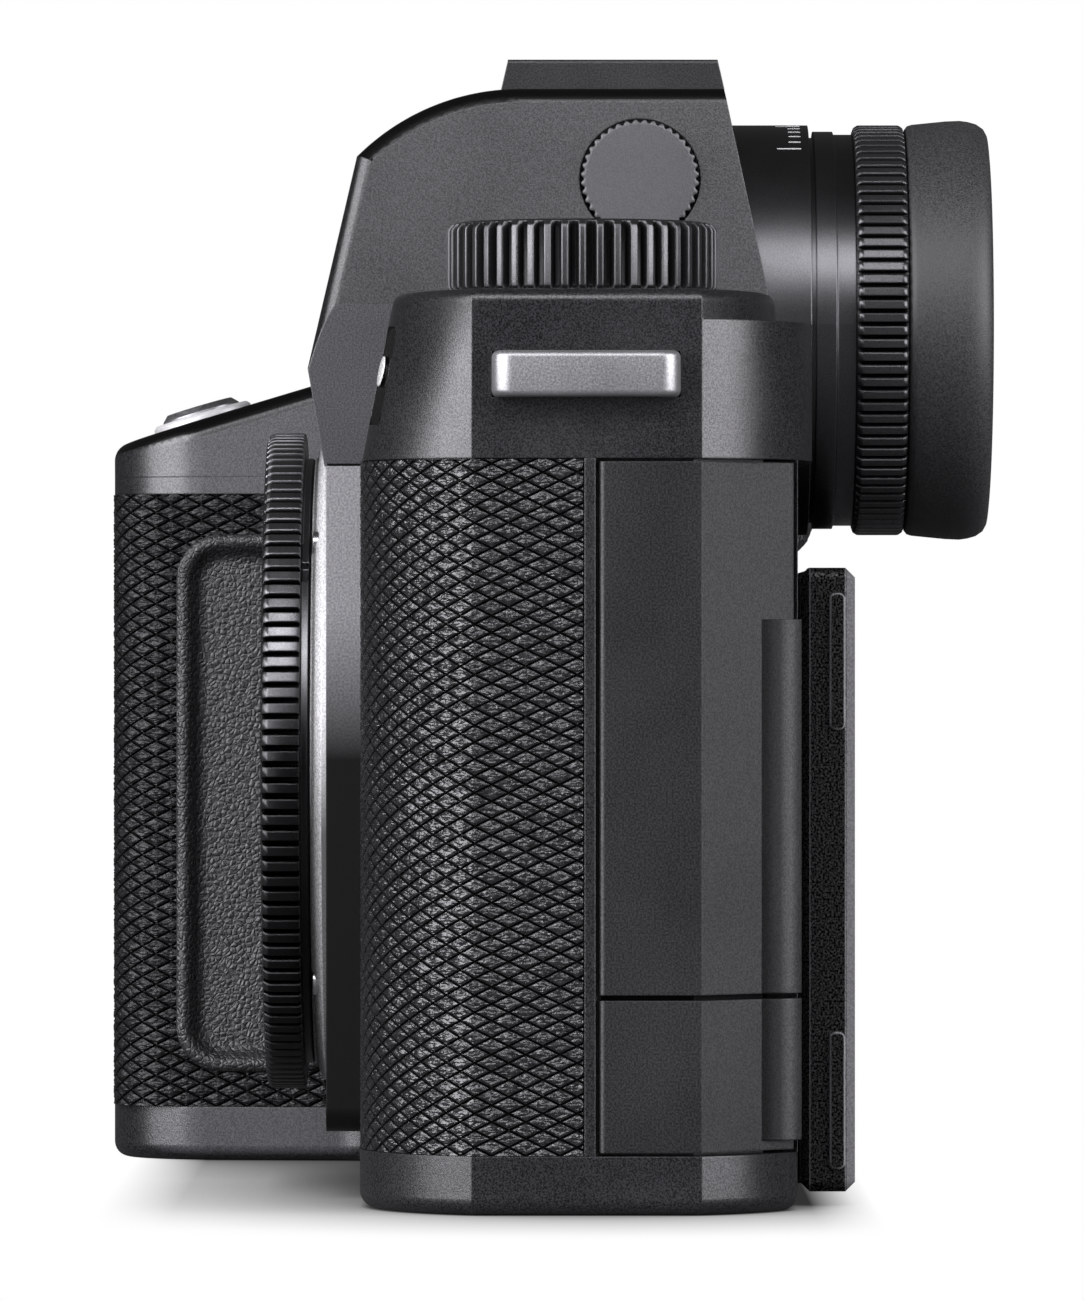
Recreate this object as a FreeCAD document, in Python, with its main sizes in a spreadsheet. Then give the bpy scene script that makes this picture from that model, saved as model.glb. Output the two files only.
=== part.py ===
"""A mirrorless camera body with its viewfinder, grip, tilting screen, battery and body cap.

Millimetres. The origin is the mouth of the tripod socket on the base, under the lens axis.
+X is the photographer's left, -X the grip side, -Y the front, +Y the rear and +Z up.
"""
import FreeCAD, Part
import math
import os
import re
import Sketcher
from FreeCAD import Placement, Rotation, Vector

SIZES = {
    # casing seen from above
    "side_wide": 63.0,
    "grip_wide": 78.2,
    "half_deep": 20.1,
    "facet_front": 9.7,
    "facet_rear": 11.2,
    "corner_start": 46.0,
    "rear_corner": 10.0,
    "casing_wall": 1.8,
    "cover_thick": 3.2,
    # heights
    "base_top": 5.4,
    "base_upright": 2.5,
    "base_floor": 2.4,
    "base_wall": 2.6,
    "base_round": 1.5,
    "seam_high": 68.7,
    "shoulder_high": 84.1,
    # grip
    "grip_deep": 46.65,
    "grip_in": 40.5,
    "grip_root": 37.5,
    "nose_in": 10.4,
    "nose_out": 16.0,
    "root_round": 4.0,
    "grip_band": 67.0,
    "skin_thick": 0.8,
    "skin_end": 4.0,
    "slope_front": 45.1,
    "slope_low": 72.3,
    "slope_rise": 0.2967,
    # finger recess on the inner side of the grip
    "recess_front": 40.1,
    "recess_back": 23.0,
    "recess_low": 8.9,
    "recess_high": 63.0,
    "recess_rim": 1.9,
    "recess_round": 4.6,
    "recess_dip": 1.0,
    "rim_proud": 0.5,
    # top cover
    "top_wall": 1.8,
    "front_lean_low": 19.9,
    "front_lean_high": 16.9,
    "shelf_drop": 2.8,
    "shelf_rear": 21.6,
    "shoulder_rear": 18.2,
    "edge_round": 1.2,
    # viewfinder hump
    "hump_half_low": 20.8,
    "hump_half_high": 17.3,
    "hump_high": 104.7,
    "hump_arc": 21.8,
    "hump_arc_rear": 5.4,
    "hump_brow_front": 20.9,
    "hump_brow_high": 98.2,
    "hump_nose_front": 25.5,
    "hump_nose_high": 78.0,
    "hump_chin_front": 23.9,
    "hump_rear_high": 14.0,
    "hump_rear_low": 18.1,
    "hump_step": 1.2,
    "hump_round": 1.6,
    # leather and doors on the left side
    "leather_end": 0.45,
    "strip_front": 0.55,
    "strip_rear": 1.55,
    "door_front": 1.8,
    "door_thick": 1.3,
    "door_gap": 0.3,
    "door_end": 19.7,
    "door_split_low": 19.5,
    "door_split_high": 20.0,
    "lip_front": 16.7,
    "lip_top": 54.1,
    "lip_foot": 6.6,
    "lip_arc": 6.0,
    "lip_over": 0.72,
    # lens mount
    "axis_high": 40.6,
    "panel_half": 33.0,
    "panel_front": 23.5,
    "panel_low": 6.2,
    "panel_high": 68.5,
    "panel_round": 2.2,
    "flange_front": 25.1,
    "flange_out": 31.2,
    "flange_in": 27.4,
    "throat": 25.8,
    "throat_back": 12.9,
    "tab_thick": 1.6,
    "tab_inset": 0.5,
    "tab_half": 10.5,
    "contact_half": 9.5,
    "contact_sunk": 2.6,
    "contact_ledge": 1.2,
    "flange_gap": 0.15,
    "screw_ring": 29.3,
    "screw_head": 1.25,
    # sensor and shutter
    "shutter_back": 9.4,
    "shutter_half_x": 29.0,
    "shutter_half_z": 21.0,
    "gate_half_x": 19.0,
    "gate_half_z": 13.0,
    "stage_back": 3.0,
    "stage_half_x": 27.0,
    "stage_half_z": 19.5,
    "sensor_plane": 5.1,
    "glass_thick": 3.2,
    "board_front": 1.0,
    "board_thick": 1.6,
    # body cap
    "cap_out": 31.65,
    "cap_front": 29.7,
    "cap_back": 26.05,
    "cap_seat": 29.2,
    "cap_seat_back": 25.2,
    "cap_spigot": 25.5,
    "cap_spigot_back": 21.0,
    "cap_wall": 2.0,
    "cap_ridges": 132,
    # lens release
    "release_x": 27.5,
    "release_z": 13.5,
    "release_round": 3.3,
    "release_proud": 2.4,
    "pin_round": 0.9,
    "pin_x": 27.5,
    "pin_z": 30.6,
    "button_gap": 0.15,
    "front_key_x": 28.8,
    "front_key_z": 64.6,
    "front_key_round": 2.6,
    "front_key_proud": 1.1,
    # viewfinder eyepiece
    "eye_high": 82.2,
    "barrel_out": 19.8,
    "barrel_seat": 14.0,
    "barrel_rear": 22.3,
    "barrel_neck": 16.5,
    "barrel_start": 8.0,
    "eye_bore": 13.0,
    "lens_rear": 27.0,
    "lens_rim": 2.0,
    "finder_front": 10.0,
    "finder_half_x": 14.0,
    "finder_half_z": 12.0,
    "finder_wall": 3.0,
    "finder_floor": 2.0,
    "finder_display": 1.4,
    "ring_gap": 0.5,
    "second_ring": 19.2,
    "second_rear": 24.7,
    "third_ring": 18.9,
    "third_rear": 26.55,
    "eye_core": 17.4,
    "core_rear": 31.0,
    "turn_ring_front": 26.6,
    "turn_ring_rear": 31.6,
    "turn_ring_ridges": 100,
    "cup_rear": 39.6,
    "cup_out": 20.25,
    "cup_in": 14.5,
    "cup_mouth": 17.6,
    "running_gap": 0.05,
    "barrel_gap": 0.2,
    # dials
    "mode_x": 42.0,
    "mode_y": 0.4,
    "mode_round": 12.55,
    "dial_gap": 0.1,
    "mode_tall": 6.6,
    "mode_ridges": 48,
    "thumb_in": 16.2,
    "thumb_y": 5.0,
    "thumb_round": 10.0,
    "thumb_tall": 4.6,
    "thumb_ridges": 40,
    "knurl_deep": 0.5,
    "knurl_wide": 0.75,
    "dial_shaft": 3.0,
    "shaft_deep": 4.2,
    "side_dial_y": 6.0,
    "side_dial_z": 96.0,
    "side_dial_round": 5.6,
    "side_dial_floor": 16.9,
    "side_dial_face": 19.6,
    "side_dial_ridges": 40,
    # shutter release
    "release_dial_x": 56.0,
    "release_dial_y": 37.8,
    "collar_out": 5.1,
    "collar_high": 0.95,
    "crown_round": 4.0,
    "crown_high": 1.75,
    # hot shoe
    "shoe_front": 7.2,
    "shoe_rear": 14.15,
    "shoe_floor": 104.1,
    "shoe_plate": 0.6,
    "shoe_slot_half": 9.35,
    "shoe_lip_half": 6.3,
    "shoe_wall": 1.2,
    "shoe_lip_low": 106.8,
    "shoe_high": 107.8,
    "shoe_stop": 1.5,
    "shoe_spot": 1.1,
    "shoe_spot_proud": 0.25,
    "shoe_spot_apart": 4.2,
    # strap lugs
    "lug_y": 0.7,
    "lug_drop": 7.8,
    "lug_long": 17.1,
    "lug_tall": 4.2,
    "lug_out": 3.2,
    "lug_bar": 1.5,
    "lug_foot": 2.3,
    "lug_seat": 1.2,
    "lug_round": 1.9,
    # tilting screen
    "screen_left": 46.0,
    "screen_right": 34.0,
    "screen_front": 20.5,
    "screen_rear": 25.6,
    "screen_low": 1.3,
    "screen_high": 58.9,
    "screen_cheek": 8.0,
    "screen_pocket": 22.0,
    "screen_edge": 0.9,
    "arm_front": 20.6,
    "arm_rear": 21.6,
    "arm_gap": 1.5,
    "arm_top": 54.5,
    "tilt_y": 22.2,
    "tilt_z": 57.2,
    "swing_y": 21.6,
    "swing_z": 2.6,
    "knuckle": 1.1,
    "hinge_pin": 0.5,
    "ear_wide": 4.0,
    "ear_left": 34.0,
    "ear_right": 22.0,
    "screen_pane": 0.8,
    "pane_inset": 1.6,
    "ridge_low": 3.5,
    "ridge_high": 56.5,
    "ridge_long": 12.5,
    "ridge_proud": 0.4,
    "ridge_round": 0.5,
    "ear_gap": 0.3,
    # rear controls
    "rear_key_x": 52.0,
    "rear_key_round": 3.3,
    "rear_key_proud": 0.8,
    "play_z": 40.0,
    "menu_z": 26.0,
    "stick_z": 53.0,
    "stick_round": 4.0,
    "stick_hole": 4.95,
    "stick_pin": 0.35,
    "stick_pivot": 16.5,
    "stick_rear": 23.6,
    "power_x": 40.0,
    "power_drop": 9.1,
    "power_round": 4.2,
    # thumb rest
    "rest_in": 6.2,
    "rest_long": 25.0,
    "rest_low": 60.3,
    "rest_high": 80.3,
    "rest_foot": 21.9,
    "rest_rear": 24.7,
    "rest_bulge_low": 63.6,
    "rest_bulge_high": 75.4,
    "rest_brow": 22.4,
    # top keys and display
    "top_key_x": 46.0,
    "top_key_apart": 8.0,
    "top_key_y": 11.3,
    "top_key_round": 2.6,
    "top_key_proud": 0.8,
    "display_x": 35.5,
    "display_y": 1.0,
    "display_half_x": 12.0,
    "display_half_y": 8.0,
    "display_thick": 0.9,
    # lamp in the front corner
    "lamp_x": 49.4,
    "lamp_half": 3.0,
    "lamp_rise": 3.0,
    "lamp_tall": 9.2,
    "lamp_deep": 1.1,
    "lamp_inset": 0.25,
    "lamp_eye": 1.45,
    "lamp_eye_up": 0.4,
    # battery
    "cell_wall": 10.05,
    "cell_y": 19.0,
    "cell_half_y": 19.4,
    "cell_high": 58.0,
    "cell_foot_extra": 1.0,
    "cell_foot": 4.2,
    "cell_gap": 0.3,
    "bay_wall": 1.6,
    "lever_y": 12.0,
    "lever_left": 33.6,
    "lever_right": 42.6,
    "lever_half": 2.8,
    "lever_travel": 4.5,
    "lever_low": 0.25,
    "lever_high": 1.6,
    # card door on the grip side
    "card_front": 3.0,
    "card_rear": 11.0,
    "card_low": 14.0,
    "card_high": 60.0,
    "card_thick": 1.4,
    "slots_front": 2.9,
    "slots_rear": 10.7,
    "slots_deep": 26.0,
    "small_card_thick": 2.2,
    "small_card_tall": 24.4,
    "large_card_thick": 3.9,
    "large_card_tall": 29.8,
    # tripod bush and base screws
    "tripod_bore": 2.6,
    "bush_out": 6.0,
    "bush_flange": 8.5,
    "bush_high": 7.0,
    "bore_deep": 5.5,
    "base_screw": 1.6,
    "base_screw_sunk": 0.25,
    # sockets behind the left doors
    "window_front": 2.5,
    "window_rear": 9.9,
    "window_low": 23.0,
    "window_high": 66.0,
    "jack_bore": 1.78,
    "jack_out": 3.0,
    "jack_deep": 12.0,
    "jack_top_z": 60.5,
    "jack_low_z": 51.5,
    "wide_port_z": 38.0,
    "wide_port_tall": 14.9,
    "wide_port_deep": 4.6,
    "small_port_z": 26.3,
    "small_port_tall": 9.1,
    "small_port_deep": 3.3,
    "port_shell": 0.4,
    "port_long": 8.0,
    "port_tongue": 0.7,
    "port_side": 1.2,
}

doc = FreeCAD.newDocument("camera")
sheet = doc.addObject("Spreadsheet::Sheet", "sizes")
for row, (name, number) in enumerate(SIZES.items(), 1):
    sheet.set(f"A{row}", name)
    sheet.set(f"B{row}", str(number))
    sheet.setAlias(f"B{row}", name)
doc.recompute()

# Sizes that follow from the ones above.
LEFT_SUM = "(side_wide + facet_rear)"
ROOT_TWO = "sqrt(2)"
SLANT_STEP = "(sqrt(2) - 1)"
CORNER_ARC = ("(((side_wide - corner_start)^2 + (half_deep - facet_front)^2)"
              " / (2 * (half_deep - facet_front)))")
COVER_FRONT = "(half_deep - cover_thick)"
THUMB_X = "(grip_wide - thumb_in)"
REST_RIGHT = "(grip_wide - rest_in)"
CELL_X = "((grip_wide + grip_root) / 2)"
CELL_HALF_X = "((grip_wide - grip_root) / 2 - cell_wall)"
SHELF_HIGH = "(shoulder_high - shelf_drop)"
POWER_Z = "(shoulder_high - power_drop)"
LUG_Z = "(shoulder_high - lug_drop)"
LAMP_HIGH = "(lamp_rise + lamp_tall / 2)"
GRIP_SLANT = "atan((grip_in - grip_root) / (grip_deep - half_deep))"
SLOPE_ANGLE = "atan(slope_rise)"
LEAN_ANGLE = "atan((front_lean_low - front_lean_high) / (shoulder_high - seam_high))"
DOOR_DEEP = "(door_thick + door_gap)"
TIP = "(door_thick / sqrt(2))"


def bound(text):
    """The expression with every named size written as a cell of the sheet."""
    return re.sub(r"[a-z][a-z_]+", lambda word: ("sizes." if word[0] in SIZES else "") + word[0],
                  str(text))


def value(text):
    """The number that an expression of named sizes comes to."""
    return float(FreeCAD.Units.Quantity(sheet.evalExpression(bound(text))).Value)


class P:
    """A corner of an outline: rounded, or followed by an arc that bulges to its right."""

    def __init__(self, across, along, round=None, arc=None):
        self.across = across
        self.along = along
        self.round = round
        self.arc = arc


class Circle:
    """A round outline about a point."""

    def __init__(self, across, along, radius):
        self.across = across
        self.along = along
        self.radius = radius


def box(left, low, right, high, round=None):
    """A rectangle between two corners, its own corners rounded if asked."""
    return [P(left, low, round), P(right, low, round), P(right, high, round), P(left, high, round)]


def origin(body, role):
    """One of a body's own origin planes or axes."""
    return next(item for item in body.Origin.OriginFeatures if item.Role == role)


def hold(sketch, kind, geometry, point, text):
    """Bind the place of a sketch point along one direction to an expression."""
    index = sketch.addConstraint(Sketcher.Constraint(kind, -1, 1, geometry, point, value(text)))
    sketch.setExpression(f"Constraints[{index}]", bound(text))


def draw_circle(sketch, circle):
    centre = Vector(value(circle.across), value(circle.along), 0)
    radius = value(circle.radius)
    ring = sketch.addGeometry(Part.Circle(centre, Vector(0, 0, 1), radius))
    hold(sketch, "DistanceX", ring, 3, circle.across)
    hold(sketch, "DistanceY", ring, 3, circle.along)
    index = sketch.addConstraint(Sketcher.Constraint("Radius", ring, radius))
    sketch.setExpression(f"Constraints[{index}]", bound(circle.radius))


def draw_loop(sketch, corners):
    """Lines and arcs through the corners, fully constrained to the named sizes."""
    spots = [Vector(value(corner.across), value(corner.along), 0) for corner in corners]
    count = len(corners)
    arrive, leave, curves = [], [], []
    for index, corner in enumerate(corners):
        spot = spots[index]
        if corner.round is None:
            arrive.append(spot)
            leave.append(spot)
            curves.append(None)
            continue
        radius = value(corner.round)
        back = (spots[index - 1] - spot).normalize()
        ahead = (spots[(index + 1) % count] - spot).normalize()
        half = back.getAngle(ahead) / 2
        middle = (back + ahead).normalize()
        arrive.append(spot + back * (radius / math.tan(half)))
        leave.append(spot + ahead * (radius / math.tan(half)))
        centre = spot + middle * (radius / math.sin(half))
        curves.append(Part.Arc(arrive[-1], centre - middle * radius, leave[-1]))
    sides, rounds = [], []
    for index, corner in enumerate(corners):
        start = leave[index]
        end = arrive[(index + 1) % count]
        if corner.arc is None:
            sides.append(sketch.addGeometry(Part.LineSegment(start, end)))
        else:
            radius = value(corner.arc)
            chord = end - start
            out = Vector(chord.y, -chord.x, 0).normalize()
            rise = abs(radius) - math.sqrt(radius ** 2 - (chord.Length / 2) ** 2)
            middle = (start + end) * 0.5 + out * (rise if radius > 0 else -rise)
            sides.append(sketch.addGeometry(Part.Arc(start, middle, end)))
            text = corner.arc if radius > 0 else f"-({corner.arc})"
            radius_index = sketch.addConstraint(
                Sketcher.Constraint("Radius", sides[-1], abs(radius)))
            sketch.setExpression(f"Constraints[{radius_index}]", bound(text))
        rounds.append(None)
    for index, curve in enumerate(curves):
        if curve is not None:
            rounds[index] = sketch.addGeometry(curve)

    def end_at(geometry, spot):
        near = (sketch.getPoint(geometry, 1) - spot).Length < (sketch.getPoint(geometry, 2) - spot).Length
        return 1 if near else 2

    for index, corner in enumerate(corners):
        before = sides[index - 1]
        after = sides[index]
        before_end = end_at(before, arrive[index])
        after_end = end_at(after, leave[index])
        if rounds[index] is None:
            sketch.addConstraint(Sketcher.Constraint("Coincident", before, before_end, after, after_end))
            hold(sketch, "DistanceX", after, after_end, corner.across)
            hold(sketch, "DistanceY", after, after_end, corner.along)
            continue
        curve = rounds[index]
        sharp = sketch.addGeometry(Part.Point(spots[index]), True)
        hold(sketch, "DistanceX", sharp, 1, corner.across)
        hold(sketch, "DistanceY", sharp, 1, corner.along)
        sketch.addConstraint(Sketcher.Constraint("PointOnObject", sharp, 1, before))
        sketch.addConstraint(Sketcher.Constraint("PointOnObject", sharp, 1, after))
        sketch.addConstraint(Sketcher.Constraint("Tangent", before, before_end,
                                                 curve, end_at(curve, arrive[index])))
        sketch.addConstraint(Sketcher.Constraint("Tangent", curve, end_at(curve, leave[index]),
                                                 after, after_end))
        radius_index = sketch.addConstraint(
            Sketcher.Constraint("Radius", curve, value(corner.round)))
        sketch.setExpression(f"Constraints[{radius_index}]", bound(corner.round))


def sketch_on(body, plane, lift, loops, turn=None):
    """A sketch on an origin plane, moved along it and perhaps turned about one of its own axes.

    turn is the base point in the sketch's own directions, the axis and the angle.
    """
    sketch = body.newObject("Sketcher::SketchObject", body.Name + "_outline")
    sketch.AttachmentSupport = (origin(body, plane + "_Plane"), [""])
    sketch.MapMode = "FlatFace"
    if turn is None:
        sketch.setExpression("AttachmentOffset.Base.z", bound(lift))
    else:
        base, axis, angle = turn
        sketch.AttachmentOffset = Placement(Vector(0, 0, 0), Rotation(Vector(*axis), 1))
        for letter, text in zip("xyz", base):
            sketch.setExpression(f"AttachmentOffset.Base.{letter}", bound(text))
        sketch.setExpression("AttachmentOffset.Rotation.Angle", bound(angle))
    for loop in loops:
        if isinstance(loop, Circle):
            draw_circle(sketch, loop)
        else:
            draw_loop(sketch, loop)
    return sketch


def extent(plane, low, high):
    """Where the sketch lies and how deep it goes: the XZ plane faces -Y."""
    lift = f"-({high})" if plane == "XZ" else low
    return lift, f"({high}) - ({low})"


def new_body(label, centre=None, aim=None):
    """A body, placed at a centre with its own +Z aimed along a direction."""
    body = doc.addObject("PartDesign::Body", label)
    body.Label = label
    if aim is not None:
        body.Placement = Placement(Vector(0, 0, 0), Rotation(Vector(0, 0, 1), Vector(*aim)))
    if centre is not None:
        for letter, text in zip("xyz", centre):
            body.setExpression(f"Placement.Base.{letter}", bound(text))
    return body


def pad(body, plane, low, high, *loops, turn=None):
    """Add material between two places along the plane's normal."""
    lift, deep = extent(plane, low, high)
    feature = body.newObject("PartDesign::Pad", body.Name + "_pad")
    feature.Profile = sketch_on(body, plane, lift, loops, turn)
    feature.setExpression("Length", bound(deep))
    return feature


def cut(body, plane, low, high, *loops, turn=None):
    """Take material away between two places along the plane's normal."""
    lift, deep = extent(plane, low, high)
    feature = body.newObject("PartDesign::Pocket", body.Name + "_cut")
    feature.Profile = sketch_on(body, plane, lift, loops, turn)
    feature.Reversed = True
    feature.setExpression("Length", bound(deep))
    return feature


def blend(body, *levels):
    """Add material between outlines that lie at two heights."""
    outlines = [sketch_on(body, "XY", height, [corners]) for height, corners in levels]
    feature = body.newObject("PartDesign::AdditiveLoft", body.Name + "_blend")
    feature.Profile = outlines[0]
    feature.Sections = outlines[1:]
    feature.Ruled = True
    return feature


def turned(label, centre, aim, corners):
    """A body of revolution about its own +Z: corners are (radius, height)."""
    body = new_body(label, centre, aim)
    sketch = sketch_on(body, "XZ", "0", [corners])
    feature = body.newObject("PartDesign::Revolution", label + "_turn")
    feature.Profile = sketch
    feature.ReferenceAxis = (sketch, ["V_Axis"])
    feature.Angle = 360
    doc.recompute()
    return body


def around(body, feature, count):
    """Repeat a feature around the body's own Z axis."""
    pattern = body.newObject("PartDesign::PolarPattern", body.Name + "_repeat")
    pattern.Originals = [feature]
    pattern.Axis = (origin(body, "Z_Axis"), [""])
    pattern.Angle = 360
    pattern.setExpression("Occurrences", bound(count))
    body.Tip = pattern
    return pattern


def soften(body, kind, size, pick):
    """Fillet or chamfer the edges that pick accepts."""
    doc.recompute()
    base = body.Tip
    names = [f"Edge{number}" for number, edge in enumerate(base.Shape.Edges, 1) if pick(edge)]
    feature = body.newObject("PartDesign::" + kind, body.Name + "_" + kind.lower())
    feature.Base = (base, names)
    feature.setExpression("Radius" if kind == "Fillet" else "Size", bound(size))
    body.Tip = feature
    return feature


def level_at(height, slack=0.02):
    """Picks edges that lie flat at a height."""
    def pick(edge):
        bounds = edge.BoundBox
        return abs(bounds.ZMin - value(height)) < slack and abs(bounds.ZMax - value(height)) < slack
    return pick


def grooves(body, count, radius, deep, width, low, high):
    """Equal square grooves around a wheel."""
    groove = cut(body, "XY", low, high, box(f"{radius} - {deep}", f"-({width}) / 2",
                                            f"{radius} + 1", f"({width}) / 2"))
    doc.recompute()
    return around(body, groove, count)


def group(label, members):
    """Separate like solids that share one node."""
    joined = doc.addObject("Part::MultiFuse", label)
    joined.Shapes = members
    joined.Label = label
    return joined


def cylinder(name, centre, aim, radius, height):
    """A plain cylinder from a centre along a direction."""
    piece = doc.addObject("Part::Cylinder", name)
    piece.Placement = Placement(Vector(0, 0, 0), Rotation(Vector(0, 0, 1), Vector(*aim)))
    piece.setExpression("Radius", bound(radius))
    piece.setExpression("Height", bound(height))
    for letter, text in zip("xyz", centre):
        piece.setExpression(f"Placement.Base.{letter}", bound(text))
    return piece


UP = (0, 0, 1)
FRONT = (0, -1, 0)
BACK = (0, 1, 0)
LEFT = (1, 0, 0)
RIGHT = (-1, 0, 0)


def crease(inset):
    """The Y place where the front corner's arc meets the left side, moved inwards."""
    return (f"({CORNER_ARC} - half_deep - sqrt(({CORNER_ARC} - {inset})^2"
            f" - (side_wide - {inset} - corner_start)^2))")


def front_corner(inset):
    """The rounded front left corner, from the front face to the left side."""
    return [P("corner_start", f"-(half_deep - {inset})", arc=f"{CORNER_ARC} - {inset}"),
            P(f"side_wide - {inset}", crease(inset))]


def grip_corners(inset):
    """The grip from its right side round the nose to its root on the front face."""
    return [P(f"-(grip_wide - {inset})", f"-(grip_deep - {inset})", f"nose_out - {inset}"),
            P(f"-(grip_in + {inset})", f"-(grip_deep - {inset})", f"nose_in - {inset}"),
            P(f"-(grip_root + {inset})", f"-(half_deep - {inset})", f"root_round + {inset}")]


def left_rear(inset, rear):
    """The flat left side and the slanted face behind it, up to a rear plane."""
    return [P(f"side_wide - {inset}", f"facet_rear - {SLANT_STEP} * {inset}"),
            P(f"{LEFT_SUM} - {ROOT_TWO} * {inset} - {rear}", rear)]


def rear_arc(touch, rear):
    """The rounded rear left corner, whose arc touches one rear plane and stops at another."""
    span = f"(({touch}) - facet_rear)"
    radius = f"(((side_wide - corner_start)^2 + {span}^2) / (2 * {span}))"
    stop = f"corner_start + sqrt({radius}^2 - (({rear}) - ({touch}) + {radius})^2)"
    return [P("side_wide", "facet_rear", arc=radius),
            P("corner_start" if rear == touch else stop, rear)]


# Front shell: one casting from the left side round the front and the grip.
front_shell = new_body("front_shell")
pad(front_shell, "XY", "base_top", "seam_high",
    front_corner("skin_thick")
    + [P("side_wide - skin_thick", "strip_front"),
       P("side_wide", "strip_front"),
       P("side_wide", "strip_rear"),
       P(f"side_wide - {DOOR_DEEP}", "strip_rear")]
    + left_rear(DOOR_DEEP, COVER_FRONT)
    + [P(f"-(grip_wide - rear_corner + sqrt(rear_corner^2 - ({COVER_FRONT} - half_deep + rear_corner)^2))",
         COVER_FRONT, arc="rear_corner"),
       P("-grip_wide", "half_deep - rear_corner"),
       P("-grip_wide", "-skin_end"),
       P("-(grip_wide - skin_thick)", "-skin_end")]
    + grip_corners("skin_thick"))
pad(front_shell, "XY", "grip_band", "seam_high",
    [P("-grip_wide", "-skin_end"), *grip_corners("0"),
     P("-panel_half", "-half_deep"), P("-panel_half", "-(half_deep - skin_thick - casing_wall)"),
     P("-grip_root - casing_wall - skin_thick", "-skin_end")])
INNER = f"({DOOR_DEEP} + casing_wall)"
SKIN_WALL = "(skin_thick + casing_wall)"
cut(front_shell, "XY", "base_top", "seam_high",
    [P(f"side_wide - {INNER}", f"-(half_deep - {SKIN_WALL})", "nose_out - skin_thick")]
    + [P(f"side_wide - {INNER}", f"facet_rear - {SLANT_STEP} * {INNER}"),
       P(f"{LEFT_SUM} - {ROOT_TWO} * {INNER} - {COVER_FRONT} - casing_wall", f"{COVER_FRONT} + casing_wall"),
       P(f"-(grip_wide - {SKIN_WALL})", f"{COVER_FRONT} + casing_wall", f"rear_corner - {SKIN_WALL}")]
    + grip_corners(SKIN_WALL))
cut(front_shell, "XZ", "-half_deep - 1", f"-(half_deep - {SKIN_WALL}) + 1",
    Circle("0", "axis_high", "flange_in"))
for low, high in (("window_low", "window_high"), ("lip_foot + 2", "door_split_low - 2")):
    cut(front_shell, "YZ", f"side_wide - {INNER} - 1", f"side_wide - {DOOR_DEEP} + 0.5",
        box("window_front", low, "window_rear", high, "0.8"))
cut(front_shell, "YZ", "-grip_wide - 1", "-(grip_wide - card_thick - door_gap)",
    box("-card_front", "card_low", "card_rear", "card_high", "0.4"))
cut(front_shell, "YZ", "-grip_wide - 1", f"-(grip_wide - {SKIN_WALL} - 1.5)",
    box("-card_front + 5.5", "card_low + 4", "card_rear - 0.6", "card_high - 4", "0.8"))

for across, along, radius in (("-release_x", "release_z", "release_round"),
                              ("-front_key_x", "front_key_z", "front_key_round")):
    cut(front_shell, "XZ", "-half_deep - 1", f"-(half_deep - {SKIN_WALL}) + 1",
        Circle(across, along, f"{radius} + button_gap"))

# The finger recess is cut square to the slanted inner side of the grip.


def slant(along):
    """A place along the slanted inner side of the grip, from its Y place."""
    return f"(({along}) + half_deep) / cos({GRIP_SLANT})"


def recess(grow):
    """The rounded outline of the finger recess, grown or shrunk."""
    return box(slant(f"-recess_front - {grow}"), f"recess_low - {grow}",
               slant(f"-recess_back + {grow}"), f"recess_high + {grow}", f"recess_round + {grow}")


cut(front_shell, "YZ", "0", f"{SKIN_WALL}", recess("0"),
    turn=(("-half_deep", "0", "-grip_root - skin_thick - recess_dip"), (0, 1, 0), f"-({GRIP_SLANT})"))

# Leather band of the left side, round the front corner to the mount panel.
side_skin = new_body("side_skin")
pad(side_skin, "XY", "base_top", "seam_high",
    [P("panel_half", "-half_deep"), *front_corner("0"),
     P("side_wide", "leather_end"), P("side_wide - skin_thick", "leather_end"),
     P("side_wide - skin_thick", crease("skin_thick"), arc=f"-({CORNER_ARC} - skin_thick)"),
     P("corner_start", "-(half_deep - skin_thick)"), P("panel_half", "-(half_deep - skin_thick)")])

# Leather round the grip, with a window for the finger recess.
grip_skin = new_body("grip_skin")
pad(grip_skin, "XY", "base_top", "grip_band",
    [P("-grip_wide", "-skin_end"), *grip_corners("0"),
     P("-panel_half", "-half_deep"), P("-panel_half", "-(half_deep - skin_thick)")]
    + grip_corners("skin_thick")[::-1]
    + [P("-(grip_wide - skin_thick)", "-skin_end")])
cut(grip_skin, "YZ", "-skin_thick", "2 * skin_thick", recess("0"),
    turn=(("-half_deep", "0", "-grip_root - 2 * skin_thick"), (0, 1, 0), f"-({GRIP_SLANT})"))

# Pebbled pad of the finger recess: a raised rim round a sunk floor.
finger_pad = new_body("finger_pad")
pad(finger_pad, "YZ", "0", "skin_thick + recess_dip + rim_proud", recess("-0.03"),
    turn=(("-half_deep", "0", "-grip_root - skin_thick - recess_dip"), (0, 1, 0), f"-({GRIP_SLANT})"))
cut(finger_pad, "YZ", "0", "skin_thick + rim_proud + 2", recess("-recess_rim"),
    turn=(("-half_deep", "0", "-grip_root - skin_thick"), (0, 1, 0), f"-({GRIP_SLANT})"))

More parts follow.
